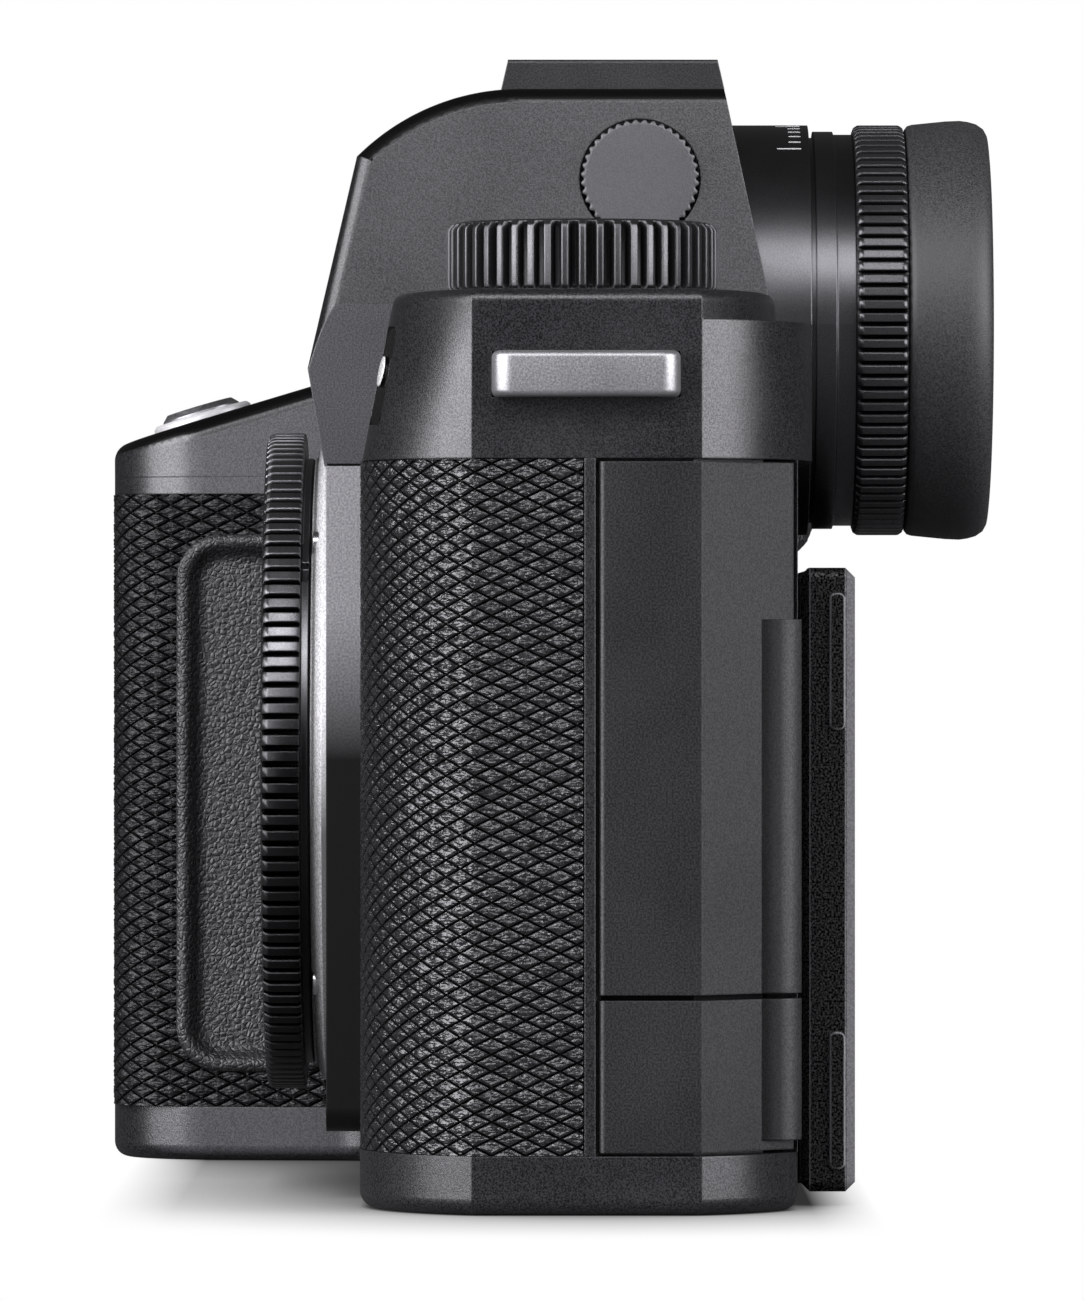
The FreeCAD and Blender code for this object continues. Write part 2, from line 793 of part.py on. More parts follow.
# Mount panel with a round seat for the flange and holes for the release and its pin.
mount_panel = new_body("mount_panel")
pad(mount_panel, "XZ", "-panel_front", "-(half_deep - skin_thick)",
    [P("-panel_half", "panel_low", "panel_round"), P("panel_half", "panel_low", "panel_round"),
     P("panel_half", "panel_high"), P("-panel_half", "panel_high")])
cut(mount_panel, "XZ", "-panel_front - 1", "-(half_deep - skin_thick) + 1",
    Circle("0", "axis_high", "flange_out + flange_gap"))
for across, along, radius in (("-release_x", "release_z", "release_round"),
                              ("-front_key_x", "front_key_z", "front_key_round")):
    cut(mount_panel, "XZ", "-panel_front - 1", "-(half_deep - skin_thick) + 1",
        Circle(across, along, f"{radius} + button_gap"))

# Bayonet flange: a stepped ring with four tabs inside its mouth.
mount_flange = turned("mount_flange", ("0", "-flange_front", "axis_high"), BACK, [
    P("flange_in", "0"), P("flange_out - 2", "0"), P("flange_out - 2", "0.15"),
    P("flange_out - 1", "0.45"), P("flange_out - 0.5", "0.8"), P("flange_out", "1.1"),
    P("flange_out", "flange_front - half_deep + skin_thick"),
    P("flange_in", "flange_front - half_deep + skin_thick")])
tab = pad(mount_flange, "XY", "tab_inset", "tab_inset + tab_thick",
          box("throat", "-tab_half", "flange_in + 1", "tab_half"))
doc.recompute()
around(mount_flange, tab, 4)
cut(mount_flange, "XY", "-1", "tab_inset + tab_thick + 1", Circle("0", "0", "throat"))
for across, along in ((1, 1), (1, -1), (-1, 1), (-1, -1)):
    cut(mount_flange, "XY", "-1", "1.2",
        Circle(f"{across} * screw_ring * cos(45)", f"{along} * screw_ring * sin(45)", "screw_head"))
cut(mount_flange, "XY", "-1", "flange_front",
    Circle("-pin_x", "axis_high - pin_z", "pin_round + running_gap"))

# Screws of the flange.
flange_screws = group("flange_screws", [
    cylinder(f"flange_screw_{number}",
             (f"{across} * screw_ring * cos(45)", "-flange_front + 0.15",
              f"axis_high + {along} * screw_ring * sin(45)"), BACK, "screw_head", "1.05")
    for number, (across, along) in enumerate(((1, 1), (1, -1), (-1, 1), (-1, -1)))])

# Chassis behind the flange, with the round lens throat and a square light gate.
mount_chassis = new_body("mount_chassis")
pad(mount_chassis, "XZ", f"-(half_deep - {SKIN_WALL})", "-throat_back",
    box("-panel_half", "base_top + 2", "panel_half", "seam_high - 1", "panel_round"))
cut(mount_chassis, "XZ", "-half_deep", "-throat_back + 1", Circle("0", "axis_high", "throat"))
cut(mount_chassis, "XZ", "-half_deep", "-throat_back - contact_ledge",
    box("-contact_half", "axis_high - throat - contact_sunk", "contact_half", "axis_high - throat + 2.6"))

# Focal plane shutter frame.
shutter_unit = new_body("shutter_unit")
pad(shutter_unit, "XZ", "-throat_back", "-shutter_back",
    box("-shutter_half_x", "axis_high - shutter_half_z",
        "shutter_half_x", "axis_high + shutter_half_z", "2"))
cut(shutter_unit, "XZ", "-throat_back - 1", "-shutter_back + 1",
    box("-gate_half_x", "axis_high - gate_half_z", "gate_half_x", "axis_high + gate_half_z", "1"))

# Sensor stage and the glass stack in its window.
sensor_stage = new_body("sensor_stage")
pad(sensor_stage, "XZ", "-shutter_back", "-stage_back",
    box("-stage_half_x", "axis_high - stage_half_z", "stage_half_x", "axis_high + stage_half_z", "1.5"))
cut(sensor_stage, "XZ", "-shutter_back - 1", "-sensor_plane",
    box("-gate_half_x - 1", "axis_high - gate_half_z - 1", "gate_half_x + 1", "axis_high + gate_half_z + 1"))
sensor_glass = new_body("sensor_glass")
pad(sensor_glass, "XZ", "-sensor_plane - glass_thick", "-sensor_plane",
    box("-gate_half_x - 1", "axis_high - gate_half_z - 1", "gate_half_x + 1", "axis_high + gate_half_z + 1"))

# Main board on four posts behind the sensor stage.
main_board = new_body("main_board")
pad(main_board, "XZ", "board_front", "board_front + board_thick",
    box("-panel_half", "base_top + 4", "corner_start", "seam_high - 8", "1.5"))
for across in ("-stage_half_x + 3", "stage_half_x - 3"):
    for along in ("axis_high - stage_half_z + 3", "axis_high + stage_half_z - 3"):
        pad(main_board, "XZ", "-stage_back", "board_front", Circle(across, along, "1.8"))

# Electrical contacts of the lens mount, on a curved carrier at the foot of the throat.
mount_contacts = new_body("mount_contacts")
pad(mount_contacts, "XZ", f"-(half_deep - {SKIN_WALL})", "-throat_back - contact_ledge",
    box("-contact_half", "axis_high - throat - contact_sunk", "contact_half", "axis_high - throat - 0.1"))

# Body cap: a knurled rim, a plain seat ring and a spigot in the throat.
body_cap = turned("body_cap", ("0", "-cap_front", "axis_high"), BACK, [
    P("0", "0.35"), P("cap_out - 2.2", "0.35"), P("cap_out - 1.9", "0"), P("cap_out - 0.45", "0"),
    P("cap_out", "0.45"), P("cap_out", "cap_front - cap_back"),
    P("cap_seat", "cap_front - cap_back"), P("cap_seat", "cap_front - cap_seat_back"),
    P("cap_spigot", "cap_front - cap_seat_back"), P("cap_spigot", "cap_front - cap_spigot_back"),
    P("cap_spigot - cap_wall", "cap_front - cap_spigot_back"), P("cap_spigot - cap_wall", "cap_wall"),
    P("0", "cap_wall")])
cut(body_cap, "XY", "cap_front - cap_back", "cap_front",
    Circle("-pin_x", "axis_high - pin_z", "pin_round + 0.4"))
cut(body_cap, "XY", "cap_front - cap_back", "cap_front",
    box("cap_seat * cos(39) - 0.8", "-cap_seat * sin(39) - 0.7", "cap_seat * cos(39) + 2",
        "-cap_seat * sin(39) + 0.7"))
grooves(body_cap, "cap_ridges", "cap_out", "0.35", "0.45", "0.5", "cap_front - cap_back + 1")

# Lens release and the lock pin that it draws back.
lens_release = turned("lens_release", ("-release_x", f"-(half_deep - {SKIN_WALL})", "release_z"), FRONT, [
    P("0", "2.2"), P("release_round", "2.2"),
    P("release_round", f"panel_front - half_deep + {SKIN_WALL} + release_proud - 0.5"),
    P("release_round - 0.5", f"panel_front - half_deep + {SKIN_WALL} + release_proud"),
    P("0", f"panel_front - half_deep + {SKIN_WALL} + release_proud - 0.3")])
lock_pin = turned("lock_pin", ("-pin_x", "-flange_front - 0.8", "pin_z"), BACK, [
    P("0", "0"), P("pin_round - 0.2", "0"), P("pin_round", "0.2"), P("pin_round", "4.2"), P("0", "4.2")])

# Top cover: shoulders, sloping grip top and viewfinder hump in one hollow casting.
JOIN_LEAN = "((front_lean_low - front_lean_high) / (shoulder_high - seam_high))"
JOIN_Y = (f"((-front_lean_low + {JOIN_LEAN} * (slope_low + slope_rise * slope_front - seam_high))"
          f" / (1 - {JOIN_LEAN} * slope_rise))")


def slope(along):
    """The height of the sloping grip top at a Y place."""
    return f"(slope_low + slope_rise * (({along}) + slope_front))"


def hump_half(height):
    """Half the width of the tapering hump at a height above the shoulders."""
    return (f"(hump_half_low - (hump_half_low - hump_half_high) * (({height}) - shoulder_high)"
            " / (hump_high - shoulder_high))")


def lean_arc(front):
    """The radius of the corner's arc from the leaning front to the left side's front edge."""
    return (f"(((side_wide - corner_start)^2 + ({front} - facet_front)^2)"
            f" / (2 * ({front} - facet_front)))")


top_cover = new_body("top_cover")
pad(top_cover, "XY", SHELF_HIGH, "shoulder_high",
    [P("corner_start", "-half_deep"), P("corner_start", "0"), P("side_wide", "0")]
    + rear_arc("shoulder_rear", "shoulder_rear")
    + [P("-grip_wide", "shoulder_rear", "rear_corner - shelf_rear + shoulder_rear")]
    + grip_corners("0"))
pad(top_cover, "XY", "seam_high", SHELF_HIGH,
    [P("corner_start", "-half_deep"), P("corner_start", "0"), P("side_wide", "0")]
    + rear_arc("shelf_rear", "shelf_rear")
    + [P("-grip_wide", "shelf_rear", "rear_corner")] + grip_corners("0"))
cut(top_cover, "YZ", "-grip_wide - 1", "-grip_root",
    [P("-grip_deep - 1", slope("-grip_deep - 1")), P(JOIN_Y, slope(JOIN_Y)),
     P("-front_lean_high", "shoulder_high"), P("-front_lean_high", "shoulder_high + 1"),
     P("-grip_deep - 1", "shoulder_high + 1")])
cut(top_cover, "YZ", "-grip_root", "corner_start",
    [P("-front_lean_low", "seam_high"), P("-front_lean_high", "shoulder_high"),
     P("-front_lean_high", "shoulder_high + 1"), P("-grip_deep", "shoulder_high + 1"),
     P("-grip_deep", "seam_high")])
blend(top_cover, *((height, [P("corner_start", f"-{front}", arc=lean_arc(front)),
                             P("side_wide", "-facet_front"), P("side_wide", "0"),
                             P("corner_start", "0")])
                   for height, front in (("seam_high", "front_lean_low"),
                                         ("shoulder_high", "front_lean_high"))))


def shoulder_rim(edge):
    """The outer edges of the shoulders' flat top, and of the shelf behind them."""
    if not level_at("shoulder_high")(edge):
        return False
    middle = edge.CenterOfMass
    return middle.x > value("-grip_wide - 1")


soften(top_cover, "Fillet", "edge_round", shoulder_rim)


def grip_rim(edge):
    """The front and side edges of the sloping grip top."""
    points = [vertex.Point for vertex in edge.Vertexes]
    rise = [abs(point.z - value(slope(str(point.y)))) < 0.02 for point in points]
    return all(rise) and edge.CenterOfMass.y < value(JOIN_Y) - 0.5


soften(top_cover, "Fillet", "edge_round * 1.5", grip_rim)
pad(top_cover, "YZ", "-hump_half_low", "hump_half_low",
    [P("-hump_chin_front", "seam_high"), P("hump_rear_low", "seam_high"),
     P("hump_rear_low", "shoulder_high + hump_step"), P("hump_rear_high", "hump_high"),
     P("-hump_arc_rear", "hump_high", arc="hump_arc"), P("-hump_brow_front", "hump_brow_high"),
     P("-hump_nose_front", "hump_nose_high")])
for side in (1, -1):
    wedge = [P(f"{side} * hump_half_low", "shoulder_high"),
             P(f"{side} * (hump_half_low + 1)", "shoulder_high"),
             P(f"{side} * (hump_half_low + 1)", "hump_high + 1"),
             P(f"{side} * hump_half_high", "hump_high + 1"),
             P(f"{side} * hump_half_high", "hump_high")]
    cut(top_cover, "XZ", "-hump_nose_front - 1", "hump_rear_low + 1", wedge)


def hump_rim(edge):
    """The long edges where the hump's sides meet its top and front."""
    middle = edge.CenterOfMass
    bounds = edge.BoundBox
    near = abs(abs(middle.x) - value(hump_half(str(middle.z)))) < 0.3
    high = bounds.ZMin > value("hump_nose_high") + 0.1 and bounds.ZMax > value("shoulder_high") + 8
    return near and high and middle.y < value("hump_rear_high") - 0.5


soften(top_cover, "Fillet", "hump_round", hump_rim)
cut(top_cover, "XZ", "-hump_nose_front - 1", "-(half_deep - skin_thick)",
    Circle("0", "axis_high", "flange_out + flange_gap"))

# Hollows of the top cover.
cut(top_cover, "XY", "seam_high", "shoulder_high - top_wall",
    [P("corner_start", "-front_lean_high + top_wall"),
     P("side_wide - 1.5 * top_wall", "-facet_front + 1"),
     P("side_wide - 1.5 * top_wall", "facet_rear - 1"),
     P(f"{LEFT_SUM} - 4 * top_wall - shoulder_rear + top_wall", "shoulder_rear - top_wall"),
     P("-(grip_wide - rear_corner)", "shoulder_rear - top_wall"),
     P("-(grip_wide - 1.5 * top_wall)", "half_deep - rear_corner"),
     P("-(grip_wide - 1.5 * top_wall)", "-front_lean_high + top_wall")])
cut(top_cover, "XY", "seam_high", "hump_high - 1.5 * top_wall",
    box("-hump_half_high + top_wall + 0.5", "-hump_arc_rear - 6.5", "hump_half_high - top_wall - 0.5",
        "hump_rear_high - 2"))
cut(top_cover, "XY", "seam_high", "hump_brow_high - 2",
    box("-hump_half_high + top_wall + 0.5", "-hump_brow_front + 2 * top_wall",
        "hump_half_high - top_wall - 0.5", "hump_rear_high - 2"))

# Seats in the top cover.
cut(top_cover, "XZ", "barrel_seat", "shelf_rear + 1", Circle("0", "eye_high", "barrel_out + barrel_gap"))
cut(top_cover, "XZ", "barrel_start", "barrel_seat", Circle("0", "eye_high", "barrel_neck + running_gap"))
for across, along, radius in (("mode_x", "mode_y", "dial_shaft + running_gap"),
                              (f"-{THUMB_X}", "thumb_y", "dial_shaft + running_gap"),
                              ("-top_key_x", "-top_key_y", "top_key_round + button_gap"),
                              ("-top_key_x - top_key_apart", "-top_key_y", "top_key_round + button_gap")):
    cut(top_cover, "XY", "shoulder_high - 2 * top_wall", "shoulder_high + 1", Circle(across, along, radius))
cut(top_cover, "XY", "shoulder_high - display_thick", "shoulder_high + 1",
    box("-display_x - display_half_x", "display_y - display_half_y", "-display_x + display_half_x",
        "display_y + display_half_y", "1"))
cut(top_cover, "YZ", "side_dial_floor", "hump_half_low + 1",
    Circle("side_dial_y", "side_dial_z", "side_dial_round + button_gap"))
cut(top_cover, "YZ", "side_dial_floor - 3", "side_dial_floor",
    Circle("side_dial_y", "side_dial_z", "2 + running_gap"))
cut(top_cover, "XZ", "shoulder_rear - 2 * top_wall", "shelf_rear + 1",
    Circle("power_x", POWER_Z, "power_round + button_gap"))
cut(top_cover, "XY", "shoe_floor", "hump_high + 1",
    box("-shoe_slot_half - shoe_wall", "-shoe_front", "shoe_slot_half + shoe_wall", "shoe_rear"))
LAMP_FRONT = f"(front_lean_low - {JOIN_LEAN} * {LAMP_HIGH})"
LAMP_SPIN = f"asin((lamp_x - corner_start) / {lean_arc(LAMP_FRONT)})"
LAMP_TURN = (("lamp_x", f"seam_high + {LAMP_HIGH}",
              f"{LAMP_FRONT} - (lamp_x - corner_start)^2 / (2 * {lean_arc(LAMP_FRONT)}) - lamp_deep"),
             (-value(LEAN_ANGLE), value(LAMP_SPIN), 0), f"sqrt(({LEAN_ANGLE})^2 + ({LAMP_SPIN})^2)")
LAMP_FACE = box("-lamp_half", "-lamp_tall / 2", "lamp_half", "lamp_tall / 2", "1.2")
cut(top_cover, "XZ", "0", "lamp_deep * 3", LAMP_FACE, turn=LAMP_TURN)


def slope_turn(depth):
    """A base on the axis of the shutter release, below the sloping grip top."""
    return (("-release_dial_x", f"-release_dial_y + {depth} * sin({SLOPE_ANGLE})",
             f"{slope('-release_dial_y')} - {depth} * cos({SLOPE_ANGLE})"), (1, 0, 0), SLOPE_ANGLE)


cut(top_cover, "XY", "0", "4", Circle("0", "0", "collar_out"), turn=slope_turn("2"))
cut(top_cover, "XY", "0", "7", Circle("0", "0", "crown_round + button_gap"), turn=slope_turn("6"))
LUG_SIDES = {"left": ("side_wide", 1), "right": ("grip_wide", -1)}
for wide, side in LUG_SIDES.values():
    for foot in ("lug_y - lug_long / 2", "lug_y + lug_long / 2 - lug_foot"):
        near, far = f"{side} * ({wide} - lug_seat)", f"{side} * ({wide} + 1)"
        low, high = (near, far) if side > 0 else (far, near)
        cut(top_cover, "YZ", low, high,
            box(foot, f"{LUG_Z} - lug_tall / 2", f"{foot} + lug_foot", f"{LUG_Z} + lug_tall / 2"))

# Strap lugs: a bar that stands off the side on two feet.
for name, (wide, side) in LUG_SIDES.items():
    lug = new_body(name + "_lug")
    root, inner, outer = (f"{side} * ({wide} {offset})" for offset in
                          ("- lug_seat", "+ lug_out - lug_bar", "+ lug_out"))
    pad(lug, "XY", f"{LUG_Z} - lug_tall / 2", f"{LUG_Z} + lug_tall / 2",
        [P(root, "lug_y - lug_long / 2"), P(outer, "lug_y - lug_long / 2", "lug_round"),
         P(outer, "lug_y + lug_long / 2", "lug_round"), P(root, "lug_y + lug_long / 2"),
         P(root, "lug_y + lug_long / 2 - lug_foot"), P(inner, "lug_y + lug_long / 2 - lug_foot", "0.8"),
         P(inner, "lug_y - lug_long / 2 + lug_foot", "0.8"), P(root, "lug_y - lug_long / 2 + lug_foot")])

# Rear cover with a notch for the eyepiece and holes for its controls.
rear_cover = new_body("rear_cover")
pad(rear_cover, "XY", "base_top", "seam_high",
    [P(f"{LEFT_SUM} - half_deep - 2.1", COVER_FRONT), P(f"{LEFT_SUM} - half_deep", "half_deep"),
     P("-(grip_wide - rear_corner)", "half_deep", arc="rear_corner"),
     P(f"-(grip_wide - rear_corner + sqrt(rear_corner^2 - ({COVER_FRONT} - half_deep + rear_corner)^2))",
       COVER_FRONT)])
for across, along, radius in (("0", "eye_high", "barrel_out + barrel_gap"),
                              ("-rear_key_x", "play_z", "rear_key_round + button_gap"),
                              ("-rear_key_x", "menu_z", "rear_key_round + button_gap"),
                              ("-rear_key_x", "stick_z", "stick_hole")):
    cut(rear_cover, "XZ", f"{COVER_FRONT} - 1", "half_deep + 1", Circle(across, along, radius))

# Base plate with the battery opening, the tripod bush seat and the ears of the screen hinge.
base_plate = new_body("base_plate")
pad(base_plate, "XY", "0", "base_top",
    front_corner("0") + rear_arc("shelf_rear", "half_deep")
    + [P("-grip_wide", "half_deep", "rear_corner")] + grip_corners("0"))


def rear_upright(edge):
    """The upright edge where the rounded rear left corner meets the rear."""
    middle = edge.CenterOfMass
    return (abs(middle.y - value("half_deep")) < 0.01 and middle.x > value("corner_start") + 1
            and edge.BoundBox.ZLength > value("base_top") / 2)


soften(base_plate, "Fillet", "base_upright", rear_upright)
soften(base_plate, "Fillet", "base_round", level_at("0"))
EAR_SPANS = (("ear_left - ear_wide", "ear_left"), ("-ear_right", "-ear_right + ear_wide"))
for low, high in EAR_SPANS:
    pad(base_plate, "YZ", low, high,
        [P("half_deep - 2", "swing_z - knuckle"),
         P("swing_y + knuckle", "swing_z - knuckle", "knuckle - 0.05"),
         P("swing_y + knuckle", "swing_z + knuckle", "knuckle - 0.05"),
         P("half_deep - 2", "swing_z + knuckle")])
    cut(base_plate, "YZ", low, high, Circle("swing_y", "swing_z", "hinge_pin + running_gap"))
cut(base_plate, "XY", "base_floor", "base_top + 1",
    box("-grip_root - 4", "-half_deep + base_wall", "corner_start", "half_deep - base_wall", "2"))
CELL_LEFT = f"(-{CELL_X} + {CELL_HALF_X} + cell_foot_extra)"
CELL_RIGHT = f"(-{CELL_X} - {CELL_HALF_X} - cell_foot_extra)"
CELL_BACK = "(-cell_y + cell_half_y + cell_foot_extra)"
CELL_FRONT = "(-cell_y - cell_half_y - cell_foot_extra)"
cut(base_plate, "XY", "-1", "base_top + 1",
    box(f"{CELL_RIGHT} - cell_gap", f"{CELL_FRONT} - cell_gap", f"{CELL_LEFT} + cell_gap",
        f"{CELL_BACK} + cell_gap", "3"))
cut(base_plate, "XY", "-1", "base_top", Circle("0", "0", "bush_out"))
SCREW_SPOTS = (("side_wide - 12", "0"),
               ("corner_start - 10", "half_deep - 5.5"),
               ("-side_wide / 3", "half_deep - 5.5"),
               ("corner_start - 10", "-half_deep + 5.5"),
               ("-side_wide / 3", "-half_deep + 5.5"),
               ("-grip_wide + 12", "half_deep - 7.5"))
for across, along in SCREW_SPOTS:
    cut(base_plate, "XY", "-1", "base_top + 1", Circle(across, along, "base_screw"))
cut(base_plate, "XY", "-1", "lever_high + cell_gap",
    box("-lever_right", "-lever_y - lever_half - cell_gap",
        "-lever_left", "-lever_y + lever_half + cell_gap", "0.8"))

# Screws of the base plate.
base_screws = group("base_screws", [
    cylinder(f"base_screw_{number}", (across, along, "base_screw_sunk"), UP,
             "base_screw", "base_top - base_screw_sunk")
    for number, (across, along) in enumerate(SCREW_SPOTS)])

# Tripod bush with its blind threaded bore.
tripod_bush = turned("tripod_bush", ("0", "0", "0"), UP, [
    P("tripod_bore", "0"), P("bush_out", "0"), P("bush_out", "base_floor"), P("bush_flange", "base_floor"),
    P("bush_flange", "base_floor + 1.4"), P("bush_out", "base_floor + 1.4"), P("bush_out", "bush_high"),
    P("0", "bush_high"), P("0", "bore_deep"), P("tripod_bore", "bore_deep")])

# Leather thumb rest over the seam of the rear and top covers.
thumb_rest = new_body("thumb_rest")
pad(thumb_rest, "YZ", f"-{REST_RIGHT}", f"-({REST_RIGHT} - rest_long)",
    [P("half_deep", "rest_low"), P("rest_foot", "rest_low"), P("rest_rear", "rest_bulge_low", "3"),
     P("rest_rear", "rest_bulge_high", "7"), P("rest_brow", "rest_high"), P("shelf_rear", "rest_high"),
     P("shelf_rear", "seam_high"), P("half_deep", "seam_high")])

# Eyepiece: the fixed barrel with its rings, its lens and the lit viewfinder block.
eyepiece_barrel = turned("eyepiece_barrel", ("0", "0", "eye_high"), BACK, [
    P("eye_bore", "barrel_start"), P("barrel_neck", "barrel_start"), P("barrel_neck", "barrel_seat"),
    P("barrel_out", "barrel_seat"), P("barrel_out", "barrel_rear"), P("barrel_out - 1.2", "barrel_rear"),
    P("barrel_out - 1.2", "barrel_rear + ring_gap"), P("second_ring", "barrel_rear + ring_gap"),
    P("second_ring", "second_rear"), P("third_ring", "second_rear + 0.1"), P("third_ring", "third_rear"),
    P("eye_core", "third_rear"), P("eye_core", "core_rear"), P("eye_bore", "core_rear")])
eyepiece_lens = turned("eyepiece_lens", ("0", "lens_rear", "eye_high"), BACK, [
    P("0", "-0.8"), P("eye_bore - 2", "0"), P("eye_bore", "0"), P("eye_bore", "lens_rim"),
    P("eye_bore - 2", "lens_rim"), P("0", "lens_rim + 1.2")])
viewfinder_block = new_body("viewfinder_block")
pad(viewfinder_block, "XZ", "-finder_front", "barrel_start",
    box("-finder_half_x", "eye_high - finder_half_z", "finder_half_x", "eye_high + finder_half_z", "1"))
FINDER_ROOM = box("-finder_half_x + finder_wall", "eye_high - finder_half_z + finder_wall",
                  "finder_half_x - finder_wall", "eye_high + finder_half_z - finder_wall")
cut(viewfinder_block, "XZ", "-finder_front + finder_floor", "barrel_start + 1", FINDER_ROOM)
viewfinder_display = new_body("viewfinder_display")
pad(viewfinder_display, "XZ", "-finder_front + finder_floor",
    "-finder_front + finder_floor + finder_display", FINDER_ROOM)

# Turning eyepiece ring and its rubber cup.
dioptre_ring = turned("dioptre_ring", ("0", "0", "eye_high"), BACK, [
    P("eye_core + running_gap", "turn_ring_front"), P("barrel_out - 0.3", "turn_ring_front"),
    P("barrel_out", "turn_ring_front + 0.3"), P("barrel_out", "turn_ring_rear"),
    P("eye_core + running_gap", "turn_ring_rear")])
grooves(dioptre_ring, "turn_ring_ridges", "barrel_out", "0.35", "0.5", "turn_ring_front", "turn_ring_rear")
eyecup = turned("eyecup", ("0", "0", "eye_high"), BACK, [
    P("cup_in", "turn_ring_rear"), P("barrel_out - 0.2", "turn_ring_rear"),
    P("cup_out", "cup_rear - 2.6"), P("cup_out - 0.5", "cup_rear - 0.7"), P("cup_out - 1.3", "cup_rear"),
    P("cup_mouth", "cup_rear"), P("cup_in", "cup_rear - 3.5")])

# Dials.
side_dial = turned("side_dial", ("side_dial_floor + 0.2", "side_dial_y", "side_dial_z"), LEFT, [
    P("0", "-2.4"), P("2", "-2.4"), P("2", "0"), P("side_dial_round", "0"),
    P("side_dial_round", "side_dial_face - side_dial_floor - 0.6"),
    P("side_dial_round - 0.4", "side_dial_face - side_dial_floor - 0.2"),
    P("0", "side_dial_face - side_dial_floor - 0.2")])
grooves(side_dial, "side_dial_ridges", "side_dial_round", "0.3", "0.42", "0.4", "side_dial_face")


def dial(label, across, along, radius, tall, count):
    """A knurled dial on its shaft through the shoulder."""
    wheel = turned(label, (across, along, "shoulder_high + dial_gap"), UP, [
        P("0", "-shaft_deep"), P("dial_shaft", "-shaft_deep"), P("dial_shaft", "0"),
        P(f"{radius} - 0.7", "0"), P(radius, "0.7"), P(radius, f"{tall} - 0.8"),
        P(f"{radius} - 0.8", tall), P("0", tall)])
    grooves(wheel, count, radius, "knurl_deep", "knurl_wide", "0", f"{tall} + 1")
    return wheel


mode_dial = dial("mode_dial", "mode_x", "mode_y", "mode_round", "mode_tall", "mode_ridges")
thumb_dial = dial("thumb_dial", f"-{THUMB_X}", "thumb_y", "thumb_round", "thumb_tall", "thumb_ridges")

# Shutter release: a bright collar and the crown that travels in it.
TILTED = (0, -math.sin(math.atan(value("slope_rise"))), math.cos(math.atan(value("slope_rise"))))
RELEASE_SPOT = ("-release_dial_x", "-release_dial_y", slope("-release_dial_y"))
shutter_collar = turned("shutter_collar", RELEASE_SPOT, TILTED, [
    P("crown_round + button_gap", "-2"), P("collar_out", "-2"), P("collar_out", "collar_high - 0.3"),
    P("collar_out - 0.3", "collar_high"), P("crown_round + button_gap", "collar_high")])
shutter_button = turned("shutter_button", RELEASE_SPOT, TILTED, [
    P("0", "-4.4"), P("crown_round", "-4.4"), P("crown_round", "crown_high - 0.6"),
    P("crown_round - 0.6", "crown_high"), P("1.6", "crown_high - 0.1"), P("0", "crown_high - 0.3")])


def key(label, centre, aim, radius, long):
    """A push key with a softly broken edge, its foot at the centre."""
    return turned(label, centre, aim, [
        P("0", "0"), P(radius, "0"), P(radius, f"{long} - 0.35"), P(f"{radius} - 0.35", long), P("0", long)])


for name, shift in (("top_key_left", "0"), ("top_key_right", "top_key_apart")):
    key(name, (f"-top_key_x - {shift}", "-top_key_y", "shoulder_high - top_wall + 0.2"), UP,
        "top_key_round", "top_wall - 0.2 + top_key_proud")
key("power_button", ("power_x", "shoulder_rear - top_wall + 0.6", POWER_Z), BACK,
    "power_round", "shelf_rear - 0.05 - shoulder_rear + top_wall - 0.6")
key("front_key", ("-front_key_x", f"-(half_deep - {SKIN_WALL}) - 1.2", "front_key_z"), FRONT,
    "front_key_round", f"panel_front + front_key_proud - half_deep + {SKIN_WALL} - 1.2")
for name, along in (("play_key", "play_z"), ("menu_key", "menu_z")):
    key(name, ("-rear_key_x", COVER_FRONT, along), BACK, "rear_key_round", "cover_thick + rear_key_proud")

# Joystick: a gimbal ring and the cap that tilts across it.
joystick_ring = turned("joystick_ring", ("-rear_key_x", "stick_pivot", "stick_z"), BACK, [
    P("2.2", "-0.6"), P("stick_round + 0.2", "-0.6"), P("stick_round + 0.2", "0.6"), P("2.2", "0.6")])
joystick_cap = turned("joystick_cap", ("-rear_key_x", "stick_pivot", "stick_z"), BACK, [
    P("0", "-0.8"), P("1.4", "-0.8"), P("1.4", "3.8"), P("stick_round", "4.3"),
    P("stick_round", "stick_rear - stick_pivot - 0.6"), P("stick_round - 0.6", "stick_rear - stick_pivot"),
    P("0", "stick_rear - stick_pivot - 0.8")])
for low, high in (("stick_round", "stick_round + 0.7"), ("-stick_round - 0.7", "-stick_round")):
    pad(joystick_ring, "YZ", low, high, Circle("0", "0", "stick_pin"))
for low, high in (("1.2", "2.1"), ("-2.1", "-1.2")):
    pad(joystick_cap, "XZ", low, high, Circle("0", "0", "stick_pin"))

